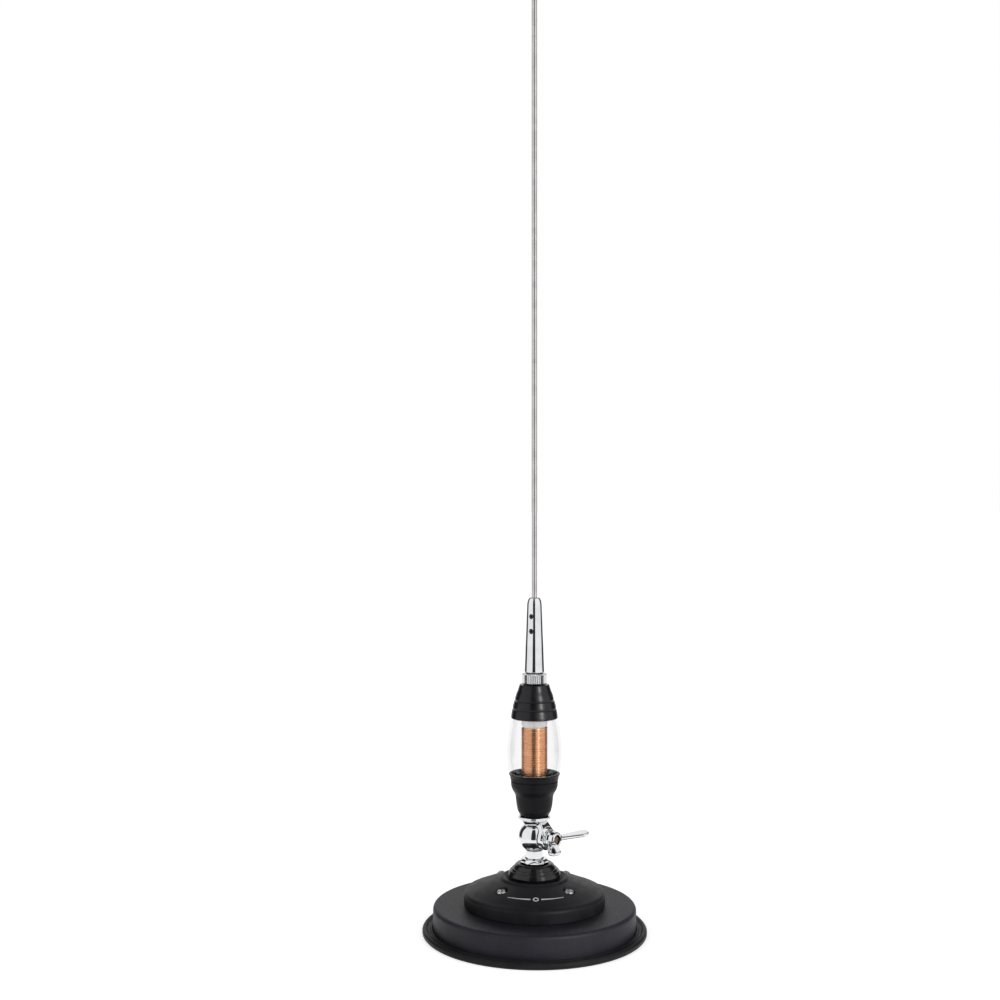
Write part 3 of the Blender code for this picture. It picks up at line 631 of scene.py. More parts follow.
rubber = moulded("rubber", *BOOT_TONES, (0.42, 0.50), 0.35, 0.008, 0.13, (0.03,) * 3)
lid_plastic = moulded("lid_plastic", *LID_TONES, (0.40, 0.48), 0.25, 0.010, 0.12)
coil_plastic = moulded("coil_plastic", *CAP_TONES, (0.22, 0.30), 0.22, 0.006, 0.30)
cup_plastic = moulded("cup_plastic", *CUP_TONES, (0.38, 0.48), 0.22, 0.008, 0.16)
gloss_black = moulded("gloss_black", *CONE_TONES, (0.12, 0.24), 0.60, 0.008, 0.4)
jacket = moulded("cable_jacket", *LEAD_TONES, (0.38, 0.52), 0.30, 0.015)
chrome = metal("chrome", *CHROME_TONES, (0.03, 0.09), 2.6, 0.006, stains=0.06)
knurled_chrome = metal("knurled_chrome", *CHROME_TONES, (0.20, 0.30), 0.6, 0.004, stains=0.06, painted_shade=0.45)
screw_steel = metal("screw_steel", *STEEL_TONES, (0.18, 0.34), (0.12, 1.2, 1.2), 0.006)
whip_steel = metal("whip_steel", *WHIP_TONES, (0.14, 0.20), (1.2, 1.2, 60.0), 0.001, stains=0.05, painted_shade=0)
plain_steel = metal("plain_steel", *STEEL_TONES, (0.30, 0.48), 0.5, 0.010, stains=0.3)
zinc_yellow = metal("zinc_yellow", *ZINC_TONES, (0.28, 0.42), 0.5, 0.008, stains=0.35)
nickel = metal("plug_nickel", *NICKEL_TONES, (0.14, 0.28), (0.2, 8.0, 0.2), 0.004)
burnished = metal("burnished_steel", *BURNT_TONES, (0.25, 0.40), 0.5, 0.006)
brass = metal("brass", *BRASS_TONES, (0.22, 0.38), 0.5, 0.008, stains=0.25, stain=(0.30, 0.20, 0.10))
paint = textured_paint()
copper = enamelled_copper()
clear = clear_plastic()
ink = printed_ink()
magnet = ferrite()
milky = white_plastic()


# ---- the base ----

BULB_SEALS = ("lower_bulb_seal", "upper_bulb_seal")
GRUB_SCREWS = ("grub_screw_lower", "grub_screw_upper")
LID_SCREWS = ["lid_screw_" + which for which in ("front_left", "front_right", "rear_left", "rear_right")]


def dress(piece, surface, node):
    """Gives a new piece its material and puts it in the place of the CAD node that it stands for."""
    piece.data.materials.clear()
    piece.data.materials.append(surface)
    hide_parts(node)
    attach(piece, BODY_OF[node])


def turned(node, name, surface, outline, place=UPRIGHT, sides=SIDES):
    """A lathed piece that stands for a CAD node."""
    dress(lathe(name, outline, place, sides), surface, node)


def rubber_boot():
    """A tray round the magnet whose lip ends in a bead, with three shallow rings underneath."""
    low, _, rim = span("rubber_boot")
    cup_low, _, cup_rim = span("magnet_cup")
    wall, floor = cup_rim + GAP, cup_low - GAP
    outline = [(0, low)]
    for inset in (20.5, 14.5, 8.5):
        outline += offsets(rim - inset, low, (0, 0), (0.4, 0.35), (1.6, 0.35), (2.0, 0))
    outline += offsets(rim, low, (-0.9, 0, 0.5), (0, 1.0, 0.6), (0, 3.0, 0.8), (-1.2, 4.35, 0.9))
    outline += offsets(rim, low, (-2.6, 4.1, 0.6), (-3.4, 3.2, 0.7))
    outline += offsets(wall, low, (1.6, 3.1, 0.5), (0.9, 3.9, 0.35), (0, 3.9, 0.3))
    turned("rubber_boot", "boot_tray", rubber, outline + [(wall, floor), (0, floor)], sides=200)


def magnet_cup():
    """The pressed cup, rolled over at its top edge and open below."""
    low, top, rim = span("magnet_cup")
    wall = 1.2
    hole = 9.0
    outline = [(rim, low, 0.4), (rim - 0.15, top, 2.4), (hole, top, 0.2), (hole, top - wall)]
    outline += [(rim - wall - 0.15, top - wall, 1.2), (rim - wall, low, 0.4)]
    turned("magnet_cup", "cup_shell", paint, outline, sides=200)


def dome_outline():
    """The lid's outer side, from its rim to the rounded ring round the cone."""
    low, top, rim = span("base_lid")
    outline = [(rim, low, 0.3), (rim, low + 8.2, 2.6)]
    outline += bezier((rim - 4.0, low + 9.6), (36.0, 30.6), (29.0, 33.0), (22.4, top - 1.4), 18)
    return outline + [(21.7, top - 0.5, 0.5), (20.6, top, 0.8), (19.3, top - 0.3, 0.6)]


def base_lid():
    """The moulded cover, with a pocket over each screw and a notch for the lead."""
    low, top, rim = span("base_lid")
    seat = span("cone_boot")[0] - GAP
    wall = rim - 2.0
    bore = 5.3
    outline = dome_outline() + [(18.0, top - 1.2, 0.5), (17.4, seat, 0.4), (bore, seat), (bore, seat - 2.0)]
    outline += [(16.8, seat - 2.0)] + bezier((20.0, 34.0), (28.0, 29.6), (37.0, 25.0), (wall, 22.4), 12)
    lid = lathe("lid_cover", outline + [(wall, low)])
    bosses, holes = [], []
    for node in LID_SCREWS:
        place = over(node)
        head_seat = span(node, place)[1] - 2.5
        boss = [(0, low), (5.2, low), (5.2, head_seat - 1.2), (0, head_seat - 1.2)]
        hole = [(0, 10), (1.9, 10), (1.9, head_seat), (3.9, head_seat, 0.4), (4.2, top + 6), (0, top + 6)]
        bosses.append(lathe("boss", boss, place, SMALL_SIDES))
        holes.append(lathe("hole", hole, place, SMALL_SIDES))
    notch = [(0, rim - 13), (3.3, rim - 13), (3.3, rim + 6), (0, rim + 6)]
    holes.append(lathe("notch", notch, LEAD_EXIT, SMALL_SIDES))
    carve(lid, bosses, "UNION")
    carve(lid, holes)
    dress(lid, lid_plastic, "base_lid")


def printed_mark():
    """A plain ring between two tapering lines, printed on the front of the lid."""
    outer = rounded(dome_outline())
    radii, heights = zip(*sorted((r, z) for r, z in outer if r < span("base_lid")[2] - 1.0))
    middle_radius = 34.3
    slope = 1.07  # length along the dome for each mm of radius

    def on_lid(across, up, lift):
        radius = middle_radius - up / slope
        angle = radians(-90) + across / middle_radius
        height = float(np.interp(radius, radii, heights))
        return radius * cos(angle), radius * sin(angle), height + lift

    verts, faces = [], []

    def strip(path, widths):
        start = len(verts)
        for i, ((x, y), width) in enumerate(zip(path, widths)):
            ahead, behind = path[min(i + 1, len(path) - 1)], path[max(i - 1, 0)]
            along = (Vector(ahead) - Vector(behind)).normalized()
            for side, lift in ((-1, -0.15), (-1, 0.05), (1, 0.05), (1, -0.15)):
                verts.append(on_lid(x - along.y * side * width, y + along.x * side * width, lift))
        rings = [range(corner, corner + 4) for corner in range(start, len(verts), 4)]
        faces.extend(skin(rings, capped=True))

    ring, ring_steps = 1.5, 40
    turns = [tau * i / ring_steps for i in range(ring_steps)]
    strip([(ring * cos(turn), ring * sin(turn)) for turn in turns], [0.42] * ring_steps)
    for side in (-1, 1):
        strip([(side * (3.4 + 1.15 * i), 0) for i in range(14)], [0.58 - 0.03 * i for i in range(14)])
    mark = mesh_object("lid_print", verts, faces)
    mark.data.materials.append(ink)
    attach(mark, BODY_OF["base_lid"])


def lid_screw(node):
    """A pan-head screw: a domed head with a cross recess, and a thread below it."""
    place = over(node)
    low, top, rim = span(node, place)
    seat = top - 2.2
    shank = 1.6
    outline = [(0, low), (1.0, low), (shank, low + 1.5)] + rows(shank, low + 2.0, seat - 0.2, 60)
    outline += [(shank, seat), (rim, seat, 0.2), (rim, seat + 0.9, 0.7), (rim - 1.3, top - 0.1, 0.9)]
    outline.append((0, top))
    screw = lathe(node + "_fine", outline, place, SMALL_SIDES)
    thread(screw, place, low + 1.9, seat - 0.1, shank - 0.1, pitch=1.1, depth=0.4)
    for turn in (20, 110):
        across = place @ Matrix.Rotation(radians(turn), 4, "Z")
        carve(screw, [box("slot", (-1.75, -0.38, seat + 0.7), (1.75, 0.38, top + 2), across)])
    dress(screw, screw_steel, node)


def cone_boot():
    """The glossy insulating cone, with two shallow rings round it."""
    low, top, rim = span("cone_boot")
    bore = 5.3
    outline = [(bore, low)] + offsets(
        rim, low, (-0.1, 0, 0.2), (0, 2.4, 0.6), (-0.5, 4.1, 0.8), (-1.2, 5.4, 0.5), (-2.0, 5.1, 0.15),
        (-2.5, 6.8, 0.6), (-3.3, 6.5, 0.15), (-4.4, 8.6, 0.9), (-5.6, 9.6, 0.5),
    )
    turned("cone_boot", "cone_skin", gloss_black, outline + [(rim - 6.2, top, 0.3), (bore, top)])


def base_hex_nut():
    """A hexagonal flange whose corners are turned down towards the top."""
    low, top, corner = span("base_hex_nut")
    flat = corner * cos(radians(30))
    bore = span_of_neck() + 0.25

    def distance(x, y, z):
        sides = np.full(x.shape, -1e9)
        for turn in map(radians, (30, 90, 150)):
            sides = cut(sides, np.abs(x * cos(turn) + y * sin(turn)) - flat, 0.25)
        radius = np.hypot(x, y)
        shape = cut(sides, (radius - flat + 0.9 + (z - top) * 0.9) * 0.74, 0.3)
        shape = cut(shape, (radius - flat - 0.2 - (z - low) * 1.3) * 0.61, 0.3)
        shape = cut(shape, np.abs(z - (low + top) / 2) - (top - low) / 2, 0.3)
        return cut(shape, bore - radius, 0.3)

    limits = (-corner, -corner, low), (corner, corner, top)
    nut = solid_from_distance("hex_flange", distance, *limits, 0.22, UPRIGHT)
    dress(nut, chrome, "base_hex_nut")


# ---- the knuckle ----


def span_of_neck():
    """The radius of the lower knuckle below its ball."""
    points = points_of("lower_knuckle")
    foot = min(point.z for point in points)
    return max(hypot(point.x, point.y) for point in points if point.z < foot + 1.0)


def span_of_ball():
    """The radius of the lower knuckle's ball, about the pivot."""
    pivot = PIVOT.translation / MM
    return max((point - pivot).length for point in points_of("lower_knuckle") if point.z > pivot.z)


BALL = span_of_ball()
BOLT = 3.0  # nominal thread of the pivot bolt
BOLT_HOLE = 3.3


def ball_face():
    """How far the ball's flat side is from the pivot, along it."""
    return span("lower_knuckle", PIVOT)[1]


def lower_knuckle():
    """The ball on its neck: flat on the wing nut's side, and sunk for the bolt's head on the other."""
    face = ball_face() - 0.1
    neck = span_of_neck()
    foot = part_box("lower_knuckle")[0].z / MM - PIVOT_HEIGHT
    head_seat = span("pivot_bolt", PIVOT)[0] + 2.5

    def distance(up, side, along):
        ball = np.sqrt(up * up + side * side + along * along) - BALL
        stem = cut(np.hypot(side, along) - neck, up + 5.0, 0.5)
        shape = join(ball, stem, 0.4)
        shape = cut(shape, along - face, 0.5)
        shape = cut(shape, foot - up, 0.3)
        hole = np.hypot(up, side)
        shape = cut(shape, BOLT_HOLE - hole, 0.3)
        sink = cut(hole - 5.2, along - head_seat, 0.2)
        shape = cut(shape, -sink, 0.4)
        thread = cut(np.hypot(side, along) - BOLT_HOLE, up + 10.4, 0.2)
        return cut(shape, -thread, 0.3)

    limits = (foot, -BALL, -BALL), (BALL, BALL, face)
    piece = solid_from_distance("knuckle_ball", distance, *limits, 0.24, PIVOT)
    dress(piece, chrome, "lower_knuckle")


def upper_knuckle():
    """The collar under the coil, hollowed over the ball, with a slanting arm down to the ear beside it."""
    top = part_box("upper_knuckle")[1].z / MM - PIVOT_HEIGHT
    shoulder = span("lower_cup")[0] - GAP - PIVOT_HEIGHT
    rim = 7.9
    socket = BALL + 0.3
    inner = ball_face() + 0.5
    outer = span("upper_knuckle", PIVOT)[1]
    ear = 7.4
    collar = [(-5, rim + EDGE), (7.3, rim + EDGE), (7.5, rim + 0.8), (9.2, rim + 3.3), (10.1, rim + 3.8)]
    collar += [(10.15, shoulder - 0.4), (9.95, shoulder - EDGE), (4.0, shoulder - EDGE)]
    collar += [(4.0, top - 0.6), (3.6, top - EDGE), (-5, top - EDGE)]
    disc = [(-5, inner + EDGE), (ear - EDGE, inner + EDGE), (ear - EDGE, outer - 1.3)]
    disc += [(ear - 0.8, outer - 0.5), (ear - 1.5, outer - EDGE), (-5, outer - EDGE)]

    def distance(up, side, along):
        shape = outline_distance(np.hypot(side, along), up, collar) - EDGE
        arm = (along - (outer - 0.3) + (up - 5.0) * 0.62) * 0.85
        arm = cut(arm, np.abs(side) - 5.4 + (up - 5.0) * 0.25, 0.9)
        arm = cut(arm, up - rim - 4.4, 0.6)
        arm = cut(arm, np.maximum(4.0 - along, 1.5 - up), 0.4)
        hole = np.hypot(up, side)
        plate = join(outline_distance(hole, along, disc) - EDGE, arm, 1.0)
        shape = join(shape, plate, 0.8)
        ball = np.sqrt(up * up + side * side + along * along) - socket
        shape = cut(shape, -cut(ball, along - inner, 0.2), 0.35)
        return cut(shape, BOLT_HOLE - np.where(along > 0, hole, BOLT_HOLE + 9), 0.3)

    reach = 10.4
    limits = (-ear, -reach, -reach), (top, reach, outer)
    piece = solid_from_distance("knuckle_collar", distance, *limits, 0.24, PIVOT)
    dress(piece, chrome, "upper_knuckle")


def pivot_bolt():
    """A domed socket-head bolt whose rolled thread shows inside the wing nut."""
    low, top, head = span("pivot_bolt", PIVOT)
    seat = low + 2.2
    outline = [(0, low), (2.0, low + 0.1, 1.0), (4.2, low + 1.1, 1.2), (head, low + 2.0, 0.3)]
    outline += [(head, seat, 0.2), (BOLT, seat)] + rows(BOLT, seat + 0.5, top - 0.7, 150)
    bolt = lathe("clamp_bolt", outline + [(BOLT - 0.6, top, 0.15), (0, top)], PIVOT, SMALL_SIDES)
    thread(bolt, PIVOT, seat + 10.0, top + 1, BOLT - 0.7, pitch=1.0, depth=0.5)
    socket = [(0, low - 1), (1.75, low - 1), (1.75, low + 1.4), (0, low + 1.4)]
    carve(bolt, [lathe("socket", socket, PIVOT, 6)])
    dress(bolt, zinc_yellow, "pivot_bolt")


def clamp_washer():
    low, top, rim = span("clamp_washer", PIVOT)
    outline = [(BOLT_HOLE, low), (rim, low, 0.15), (rim, top, 0.3), (BOLT_HOLE, top, 0.2)]
    turned("clamp_washer", "washer_ring", chrome, outline, PIVOT)


def wing_frame():
    """The pivot's frame, turned so that local X runs along the wings."""
    tip = max(points_of("wing_nut", PIVOT), key=lambda point: hypot(point.x, point.y))
    return PIVOT @ Matrix.Rotation(atan2(tip.y, tip.x) % pi, 4, "Z")


def wing_nut():
    """A round boss with two long flat wings that spread away from the knuckle."""
    place = wing_frame()
    low, high, reach = span("wing_nut", place)
    boss_top = low + 5.2
    boss = [(-5, low + EDGE), (5.9, low + EDGE), (6.0, low + 0.8), (5.3, low + 1.9), (5.1, boss_top - 0.8)]
    boss += [(4.7, boss_top - EDGE), (-5, boss_top - EDGE)]
    tip_radius = 4.2
    root_radius = 2.5
    tip = np.array((reach - tip_radius * 1.02, high - tip_radius * 1.03))
    root = np.array((4.6, low + 4.1))
    length = np.linalg.norm(tip - root)
    direction = (tip - root) / length

    def distance(x, y, z):
        radius = np.hypot(x, y)
        body = outline_distance(radius, z, boss) - EDGE
        across, out = np.abs(x) - root[0], z - root[1]
        along = np.clip((across * direction[0] + out * direction[1]) / length, 0, 1)
        gap = np.hypot(across - along * length * direction[0], out - along * length * direction[1])
        outline = gap - root_radius - (tip_radius - root_radius) * along
        half_thickness = 1.15 - 0.15 * along
        wing = cut(outline, np.abs(y) - half_thickness, 0.8)
        shape = join(body, wing, 1.4)
        return cut(shape, BOLT_HOLE - radius, 0.35)

    limits = (-reach, -6.3, low), (reach, 6.3, high)
    piece = solid_from_distance("wing_nut_fine", distance, *limits, 0.26, place)
    dress(piece, chrome, "wing_nut")


# ---- the loading coil ----


def lower_cup():
    """The black cup under the bulb: a round foot, a long waist, and a step and a groove near its rim."""
    low, top, rim = span("lower_cup")
    bore = 4.5
    inner = 9.0
    outline = [(bore, low)] + offsets(
        rim, low, (-7.6, 0, 0.3), (-5.8, 3.1, 1.5), (-5.0, 7.0, 4.0), (-4.4, 12.6, 3.0), (-4.1, 13.8, 0.6),
        (-2.9, 15.9, 0.7), (-2.4, 16.6, 0.8), (-1.6, 18.9, 1.5), (-1.35, 22.1, 0.3), (-1.75, 22.5, 0.2),
        (-1.75, 22.8, 0.2), (-1.2, 23.2, 0.3), (-0.8, 25.4, 1.2),
    )
    outline += offsets(rim, top, (0, -0.3, 0.3), (-0.3, 0, 0.2), (-1.3, 0, 0.2))
    outline += offsets(0, low, (rim - 1.3, 23.2), (inner, 23.2), (inner, 17.9), (bore, 17.9))
    turned("lower_cup", "coil_cup", cup_plastic, outline)


def clear_bulb():
    """The hollow clear barrel, with a thinner spigot at each end."""
    low, top, _ = span("clear_bulb")
    foot = span("lower_cup")[1] + GAP
    head = span("upper_cap")[0] - GAP
    wall = 1.6
    outer = bezier((16.7, foot), (18.0, foot + 8.8), (18.2, foot + 20.8), (15.5, head), 28)
    inner = bezier((15.2, head - 1), (18.0, foot + 20.8), (18.0, foot + 8.8), (16.0, foot + 1), 26)
    outline = [(14.4, low, 0.3), (14.4, foot)] + outer + [(13.4, head), (13.4, top, 0.3), (12.2, top, 0.3)]
    outline += [(radius - wall, height) for radius, height in inner] + [(13.2, low, 0.3)]
    turned("clear_bulb", "bulb_shell", clear, outline)


def bulb_seal(node):
    """A rubber ring between the bulb and the black piece it sits in."""
    low, top, rim = span(node)
    inner = rim - 0.6
    outline = [(inner, low, 0.28), (rim, low, 0.28), (rim, top, 0.28), (inner, top, 0.28)]
    turned(node, node + "_fine", rubber, outline)


def coil_former():
    """The milky tube inside the winding, with a flanged foot and a thicker head, slotted for the wire."""
    low, top, flange = span("coil_former")
    winding_top, winding_radius = span("copper_coil")[1:]
    bore = 5.0
    tube_radius = 6.95
    outline = [(bore, low), (flange, low, 0.2), (flange, low + 3.4, 0.4), (tube_radius, low + 3.4, 0.3)]
    outline += [(tube_radius, winding_top + 0.3), (winding_radius, winding_top + 0.5, 0.2)]
    outline += [(winding_radius, top - 3.2, 0.3), (tube_radius, top - 3.0), (tube_radius, top, 0.3)]
    former = lathe("former_tube", outline + [(bore, top, 0.3)])
    carve(former, [box("slot", (-3.6, tube_radius, winding_top), (1.0, tube_radius + 3, top))])
    dress(former, milky, "coil_former")


def copper_coil():
    """One wire wound down the former. Its ends leave at the rear for the two terminals."""
    low, top, outer = span("copper_coil")
    wire = 0.555
    turns = 27
    radius = outer - 0.5
    start, end = low + 0.5, top - 0.5
    foot = span("coil_former")[0] + 3.4 + wire
    head = span("coil_former")[1] - 0.6
    per_turn = 56
    rear = radians(90)
    path = [(0.5 * k, radius + 0.25, foot + 0.1 * (8 - k)) for k in range(8, 1, -1)]
    for i in range(per_turn * turns + 1):
        angle = rear + tau * i / per_turn
        height = start + (end - start) * i / per_turn / turns
        path.append((radius * cos(angle), radius * sin(angle), height))
    rise = [(-0.35 * k, radius + 0.02 * k, end + 0.06 * k * k) for k in range(2, 6)]
    path += rise + [(-1.9, radius + 0.1, end + 2.2), (-1.9, radius + 0.1, head)]
    dress(tube("copper_winding", path, wire, 12), copper, "copper_coil")


def upper_cap():
    """The black cap on the bulb: three tapering tiers with a groove between each."""
    low, top, rim = span("upper_cap")
    bore = 3.4
    outline = [(rim - 1.2, low)] + offsets(
        rim, low, (-0.4, 0, 0.2), (0, 0.5, 0.3), (-0.1, 1.8, 0.5), (-0.45, 4.0, 0.5), (-0.75, 5.7, 0.4),
        (-1.35, 6.1, 0.25), (-1.1, 6.7, 0.25), (-1.15, 7.7, 0.4), (-1.5, 9.0, 0.8), (-2.0, 11.1, 0.4),
        (-2.7, 11.6, 0.25), (-2.55, 12.3, 0.3), (-2.7, 13.3, 0.8), (-3.3, 15.5, 2.0), (-4.4, 18.1, 2.0),
        (-5.2, 20.7, 0.8),
    )
    outline += [(rim - 5.5, top, 0.4), (bore, top)]
    outline += offsets(0, low, (bore, 12.5), (8.6, 12.5), (8.6, 6.1), (11.8, 6.1), (11.8, 2.9))
    outline.append((rim - 1.2, low + 2.9))
    turned("upper_cap", "coil_cap", coil_plastic, outline)


# ---- the whip ----


def lock_ring():
    """The knurled ring below the whip holder."""
    low, top, rim = span("lock_ring")
    ridges = 38
    bore = 3.3
    outline = [(bore, low), *offsets(rim, low, (-0.9, 0, 0.2), (0, 0.8, 0.2))]
    outline += rows(rim, low + 0.9, top - 0.9, 10) + offsets(rim, top, (0, -0.8, 0.2), (-0.9, 0, 0.2))
    outline.append((bore, top))
    ring = lathe("knurled_ring", outline, sides=ridges * 10)

    def groove(angle, height, radius):
        fade = min(1.0, max(0.0, (radius - rim + 0.8) / 0.7))
        return 0.60 * fade * peaks(angle * ridges / tau)

    ripple(ring, UPRIGHT, groove)
    dress(ring, knurled_chrome, "lock_ring")


def screw_place(node):
    """A frame at a grub screw's height, with local Z along it."""
    middle = centre(node)
    return frame_along((middle.x, middle.y, 0), (0, 0, middle.z))


def whip_holder():
    """The tapered holder, with a rounded foot, a rounded nose and two cross holes."""
    low, top, foot = span("whip_holder")
    bore = span("whip_rod")[2] + GAP
    socket = 3.3
    web = low + 6.7
    outline = [(0, web), (socket, web), (socket, low, 0.2), (foot - 0.5, low, 0.3), (foot, low + 0.7, 0.4)]
    outline += offsets(0, top, (4.75, -4.2, 2.5), (4.4, -2.2, 1.2), (3.8, -0.7, 0.7), (3.2, 0, 0.5))
    outline += [(bore, top, 0.15), (bore, low + 7.7), (0, low + 7.7)]
    holder = lathe("holder_taper", outline)
    for node in GRUB_SCREWS:
        hole = [(0, 1.2), (1.5, 1.2), (1.5, 4.7, 0.2), (1.95, 5.6), (1.95, 9.0), (0, 9.0)]
        carve(holder, [lathe("hole", hole, screw_place(node), 40)])
    dress(holder, chrome, "whip_holder")


def grub_screw(node):
    """A set screw with a hexagon socket."""
    place = screw_place(node)
    low, top, radius = span(node, place)
    outline = [(0, low), (0.8, low, 0.1), (radius, low + 0.4, 0.1), (radius, top - 0.3, 0.1)]
    screw = lathe(node + "_fine", outline + [(radius - 0.3, top, 0.1), (0, top)], place, 40)
    socket = [(0, top - 1.2), (0.8, top - 1.2), (0.8, top + 1), (0, top + 1)]
    carve(screw, [lathe("socket", socket, place, 6)])
    dress(screw, burnished, node)


def whip_rod():
    low, top, radius = span("whip_rod")
    outline = [(0, low), (radius - 0.4, low, 0.1), (radius, low + 0.6, 0.2)]
    outline += rows(radius, low + 1, top - 1, 24) + [(radius, top, 0.4), (0, top)]
    turned("whip_rod", "whip_steel_rod", whip_steel, outline, sides=48)


def whip_tip():
    """The static ball on the whip's end, on a short neck."""
    low, top, radius = span("whip_tip")
    middle = top - radius
    outline = [(0, low), (1.5, low, 0.1), (1.5, low + 0.3, 0.1)]
    for step in range(1, 33):
        angle = radians(-56 + 146 * step / 32)
        outline.append((radius * cos(angle) if step < 32 else 0, middle + radius * sin(angle)))
    turned("whip_tip", "whip_end_ball", chrome, outline, sides=48)


# ---- the lead ----


def coax_cable():
    """The short stretch of lead, from under the lid down to the plug."""
    low, high = (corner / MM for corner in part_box("coax_cable"))
    exit_height = LEAD_EXIT.translation.z / MM
    plug_height = PLUG.translation.z / MM
    start = (0, low.y, high.z - 2.4)
    outside = 60.0
    plug = span("plug_body", PLUG)[0] - 1
    level = [(0, out, exit_height) for out in (34, 40, 44, 50, 55, outside)]
    path = bezier(start, (0, low.y + 6, start[2]), *level[:2], 10) + bezier(*level[2:], 6)
    drop = (0, outside + 11, exit_height), (0, plug - 11, plug_height), (0, plug, plug_height)
    path += bezier(level[-1], *drop, 24)[1:]
    path += [(0, plug + 3, plug_height), (0, high.y, plug_height)]
    dress(tube("lead_jacket", path, 2.35, 40), jacket, "coax_cable")


def cable_grommet():
    """A ribbed sleeve that guards the lead where it leaves the lid."""
    low, top, rim = span("cable_grommet", LEAD_EXIT)
    bore = 2.5
    outline = [(bore, low), (rim, low, 0.1)]
    for rib in range(4):
        foot = low + 3.6 + 1.7 * rib
        outline += offsets(rim, foot, (0, 0, 0.1), (-0.35, 0.2, 0.1), (-0.35, 0.8, 0.1), (0, 1.0, 0.1))
    outline += [(rim, top - 0.4, 0.2), (rim - 0.3, top, 0.1), (bore, top)]
    turned("cable_grommet", "lead_grommet", rubber, outline, LEAD_EXIT, SMALL_SIDES)


def plug_body():
    low, top, rim = span("plug_body", PLUG)
    neck = rim - 0.9
    outline = [(2.8, low), (neck - 0.7, low, 0.2), (neck, low + 0.8, 0.2)]
    for ring in range(5):
        foot = low + 1.6 + 1.4 * ring
        outline += offsets(neck, foot, (0, 0), (-0.25, 0.15), (-0.25, 0.5), (0, 0.65))
    outline += [(neck, low + 9.0, 0.3), (rim, low + 10.0, 0.2), (rim, top, 0.2), (rim - 1.3, top, 0.15)]
    outline += [(rim - 1.3, low + 12), (2.8, low + 12)]
    turned("plug_body", "plug_shell", nickel, outline, PLUG)


def plug_insulator():
    low, top, rim = span("plug_insulator", PLUG)
    bore = 2.3
    outline = [(bore, low), (rim, low, 0.2)]
    outline += offsets(rim, top, (0, 0, 0.3), (-1.0, 0, 0.2), (-1.3, -0.7, 0.2))
    outline += [(2.9, top - 0.7, 0.2), (2.6, top, 0.1), (bore, top, 0.1)]
    turned("plug_insulator", "plug_dielectric", milky, outline, PLUG, SMALL_SIDES)


def plug_pin():
    """The centre pin, with the solder hole in its tip."""
    low, top, radius = span("plug_pin", PLUG)
    outline = [(0, low), (radius, low, 0.1), (radius, top - 1.4, 0.5), (1.2, top, 0.2), (0.8, top, 0.1)]
    outline += [(0.8, top - 2.5), (0, top - 2.7)]
    turned("plug_pin", "plug_centre_pin", brass, outline, PLUG, SMALL_SIDES)


def plug_sleeve():
    """The coupling sleeve: diamond knurling behind a plain front."""
    low, top, rim = span("plug_sleeve", PLUG)
    ridges = 34
    bore = 6.8
    outline = [(bore, low), (rim - 0.7, low, 0.2), (rim, low + 0.7)] + rows(rim, low + 0.9, low + 14.1, 66)
    outline += [(rim, low + 14.3), (rim - 0.7, low + 15.0, 0.2), (rim - 0.9, low + 15.5, 0.2)]
    outline += [(rim - 0.9, top - 0.3, 0.2), (rim - 1.2, top, 0.15), (bore, top, 0.2)]
    sleeve = lathe("coupling_sleeve", outline, PLUG, ridges * 10)

    def diamonds(angle, height, radius):
        if radius < rim - 0.05:
            return 0.0
        turns, climb = angle * ridges / tau, height / 1.7
        return 0.36 * max(peaks(turns + climb) - 0.35, peaks(turns - climb) - 0.35, 0.0) / 0.65

    ripple(sleeve, PLUG, diamonds)
    dress(sleeve, nickel, "plug_sleeve")


# ---- assembly ----

# the nodes inside the casings, which keep their meshes
INNER_NODES = {
    magnet: ("ring_magnet",),
    plain_steel: ("pole_plate",),
    milky: ("insulating_bush",),
    brass: ("centre_stud", "stud_nut", "feed_terminal", "lower_terminal", "upper_terminal", "top_stud"),
}


def finish_inner_nodes():
    for surface, nodes in INNER_NODES.items():
        for node in nodes:
            data = frame["nodes"][node].data
            data.materials.clear()
            data.materials.append(surface)


def build_antenna():
    base = rubber_boot, magnet_cup, base_lid, printed_mark, cone_boot, base_hex_nut
    knuckle = lower_knuckle, upper_knuckle, pivot_bolt, clamp_washer, wing_nut
    coil = lower_cup, clear_bulb, coil_former, copper_coil, upper_cap
    whip = lock_ring, whip_holder, whip_rod, whip_tip
    lead = coax_cable, cable_grommet, plug_body, plug_insulator, plug_pin, plug_sleeve
    for build in base + knuckle + coil + whip + lead:
        build()
    repeated = ((lid_screw, LID_SCREWS), (bulb_seal, BULB_SEALS), (grub_screw, GRUB_SCREWS))
    for build, nodes in repeated:
        for node in nodes:
            build(node)
    finish_inner_nodes()


# ---- studio ----

CAMERA_PLACE = (-22.3, -867.5, 279.7)
CAMERA_LENS = 48.2
FLOOR_HALF_SIZE = 30000.0
SHEET_RADIUS = 230.0  # the floor that the metal mirrors; further out it mirrors the tent
PANEL_PLACE = (1150.0, -1500.0, 700.0)
PANEL_SIZE = (420.0, 1300.0)
PANELS = (  # a light's power and the pieces that it lights
    (26.0, ("coil_cap", "lid_cover", "cup_shell", "boot_tray")),
    (12.0, ("copper_winding",)),
    (5.0, ("cone_skin",)),
)


def window(graph, value, low, high, soft):
    """1 between low and high, easing to 0 over soft on both sides."""
    rise = graph.ramp(value, low - soft, low + soft)
    return graph.times(rise, graph.ramp(value, high - soft, high + soft, 1.0, 0.0))


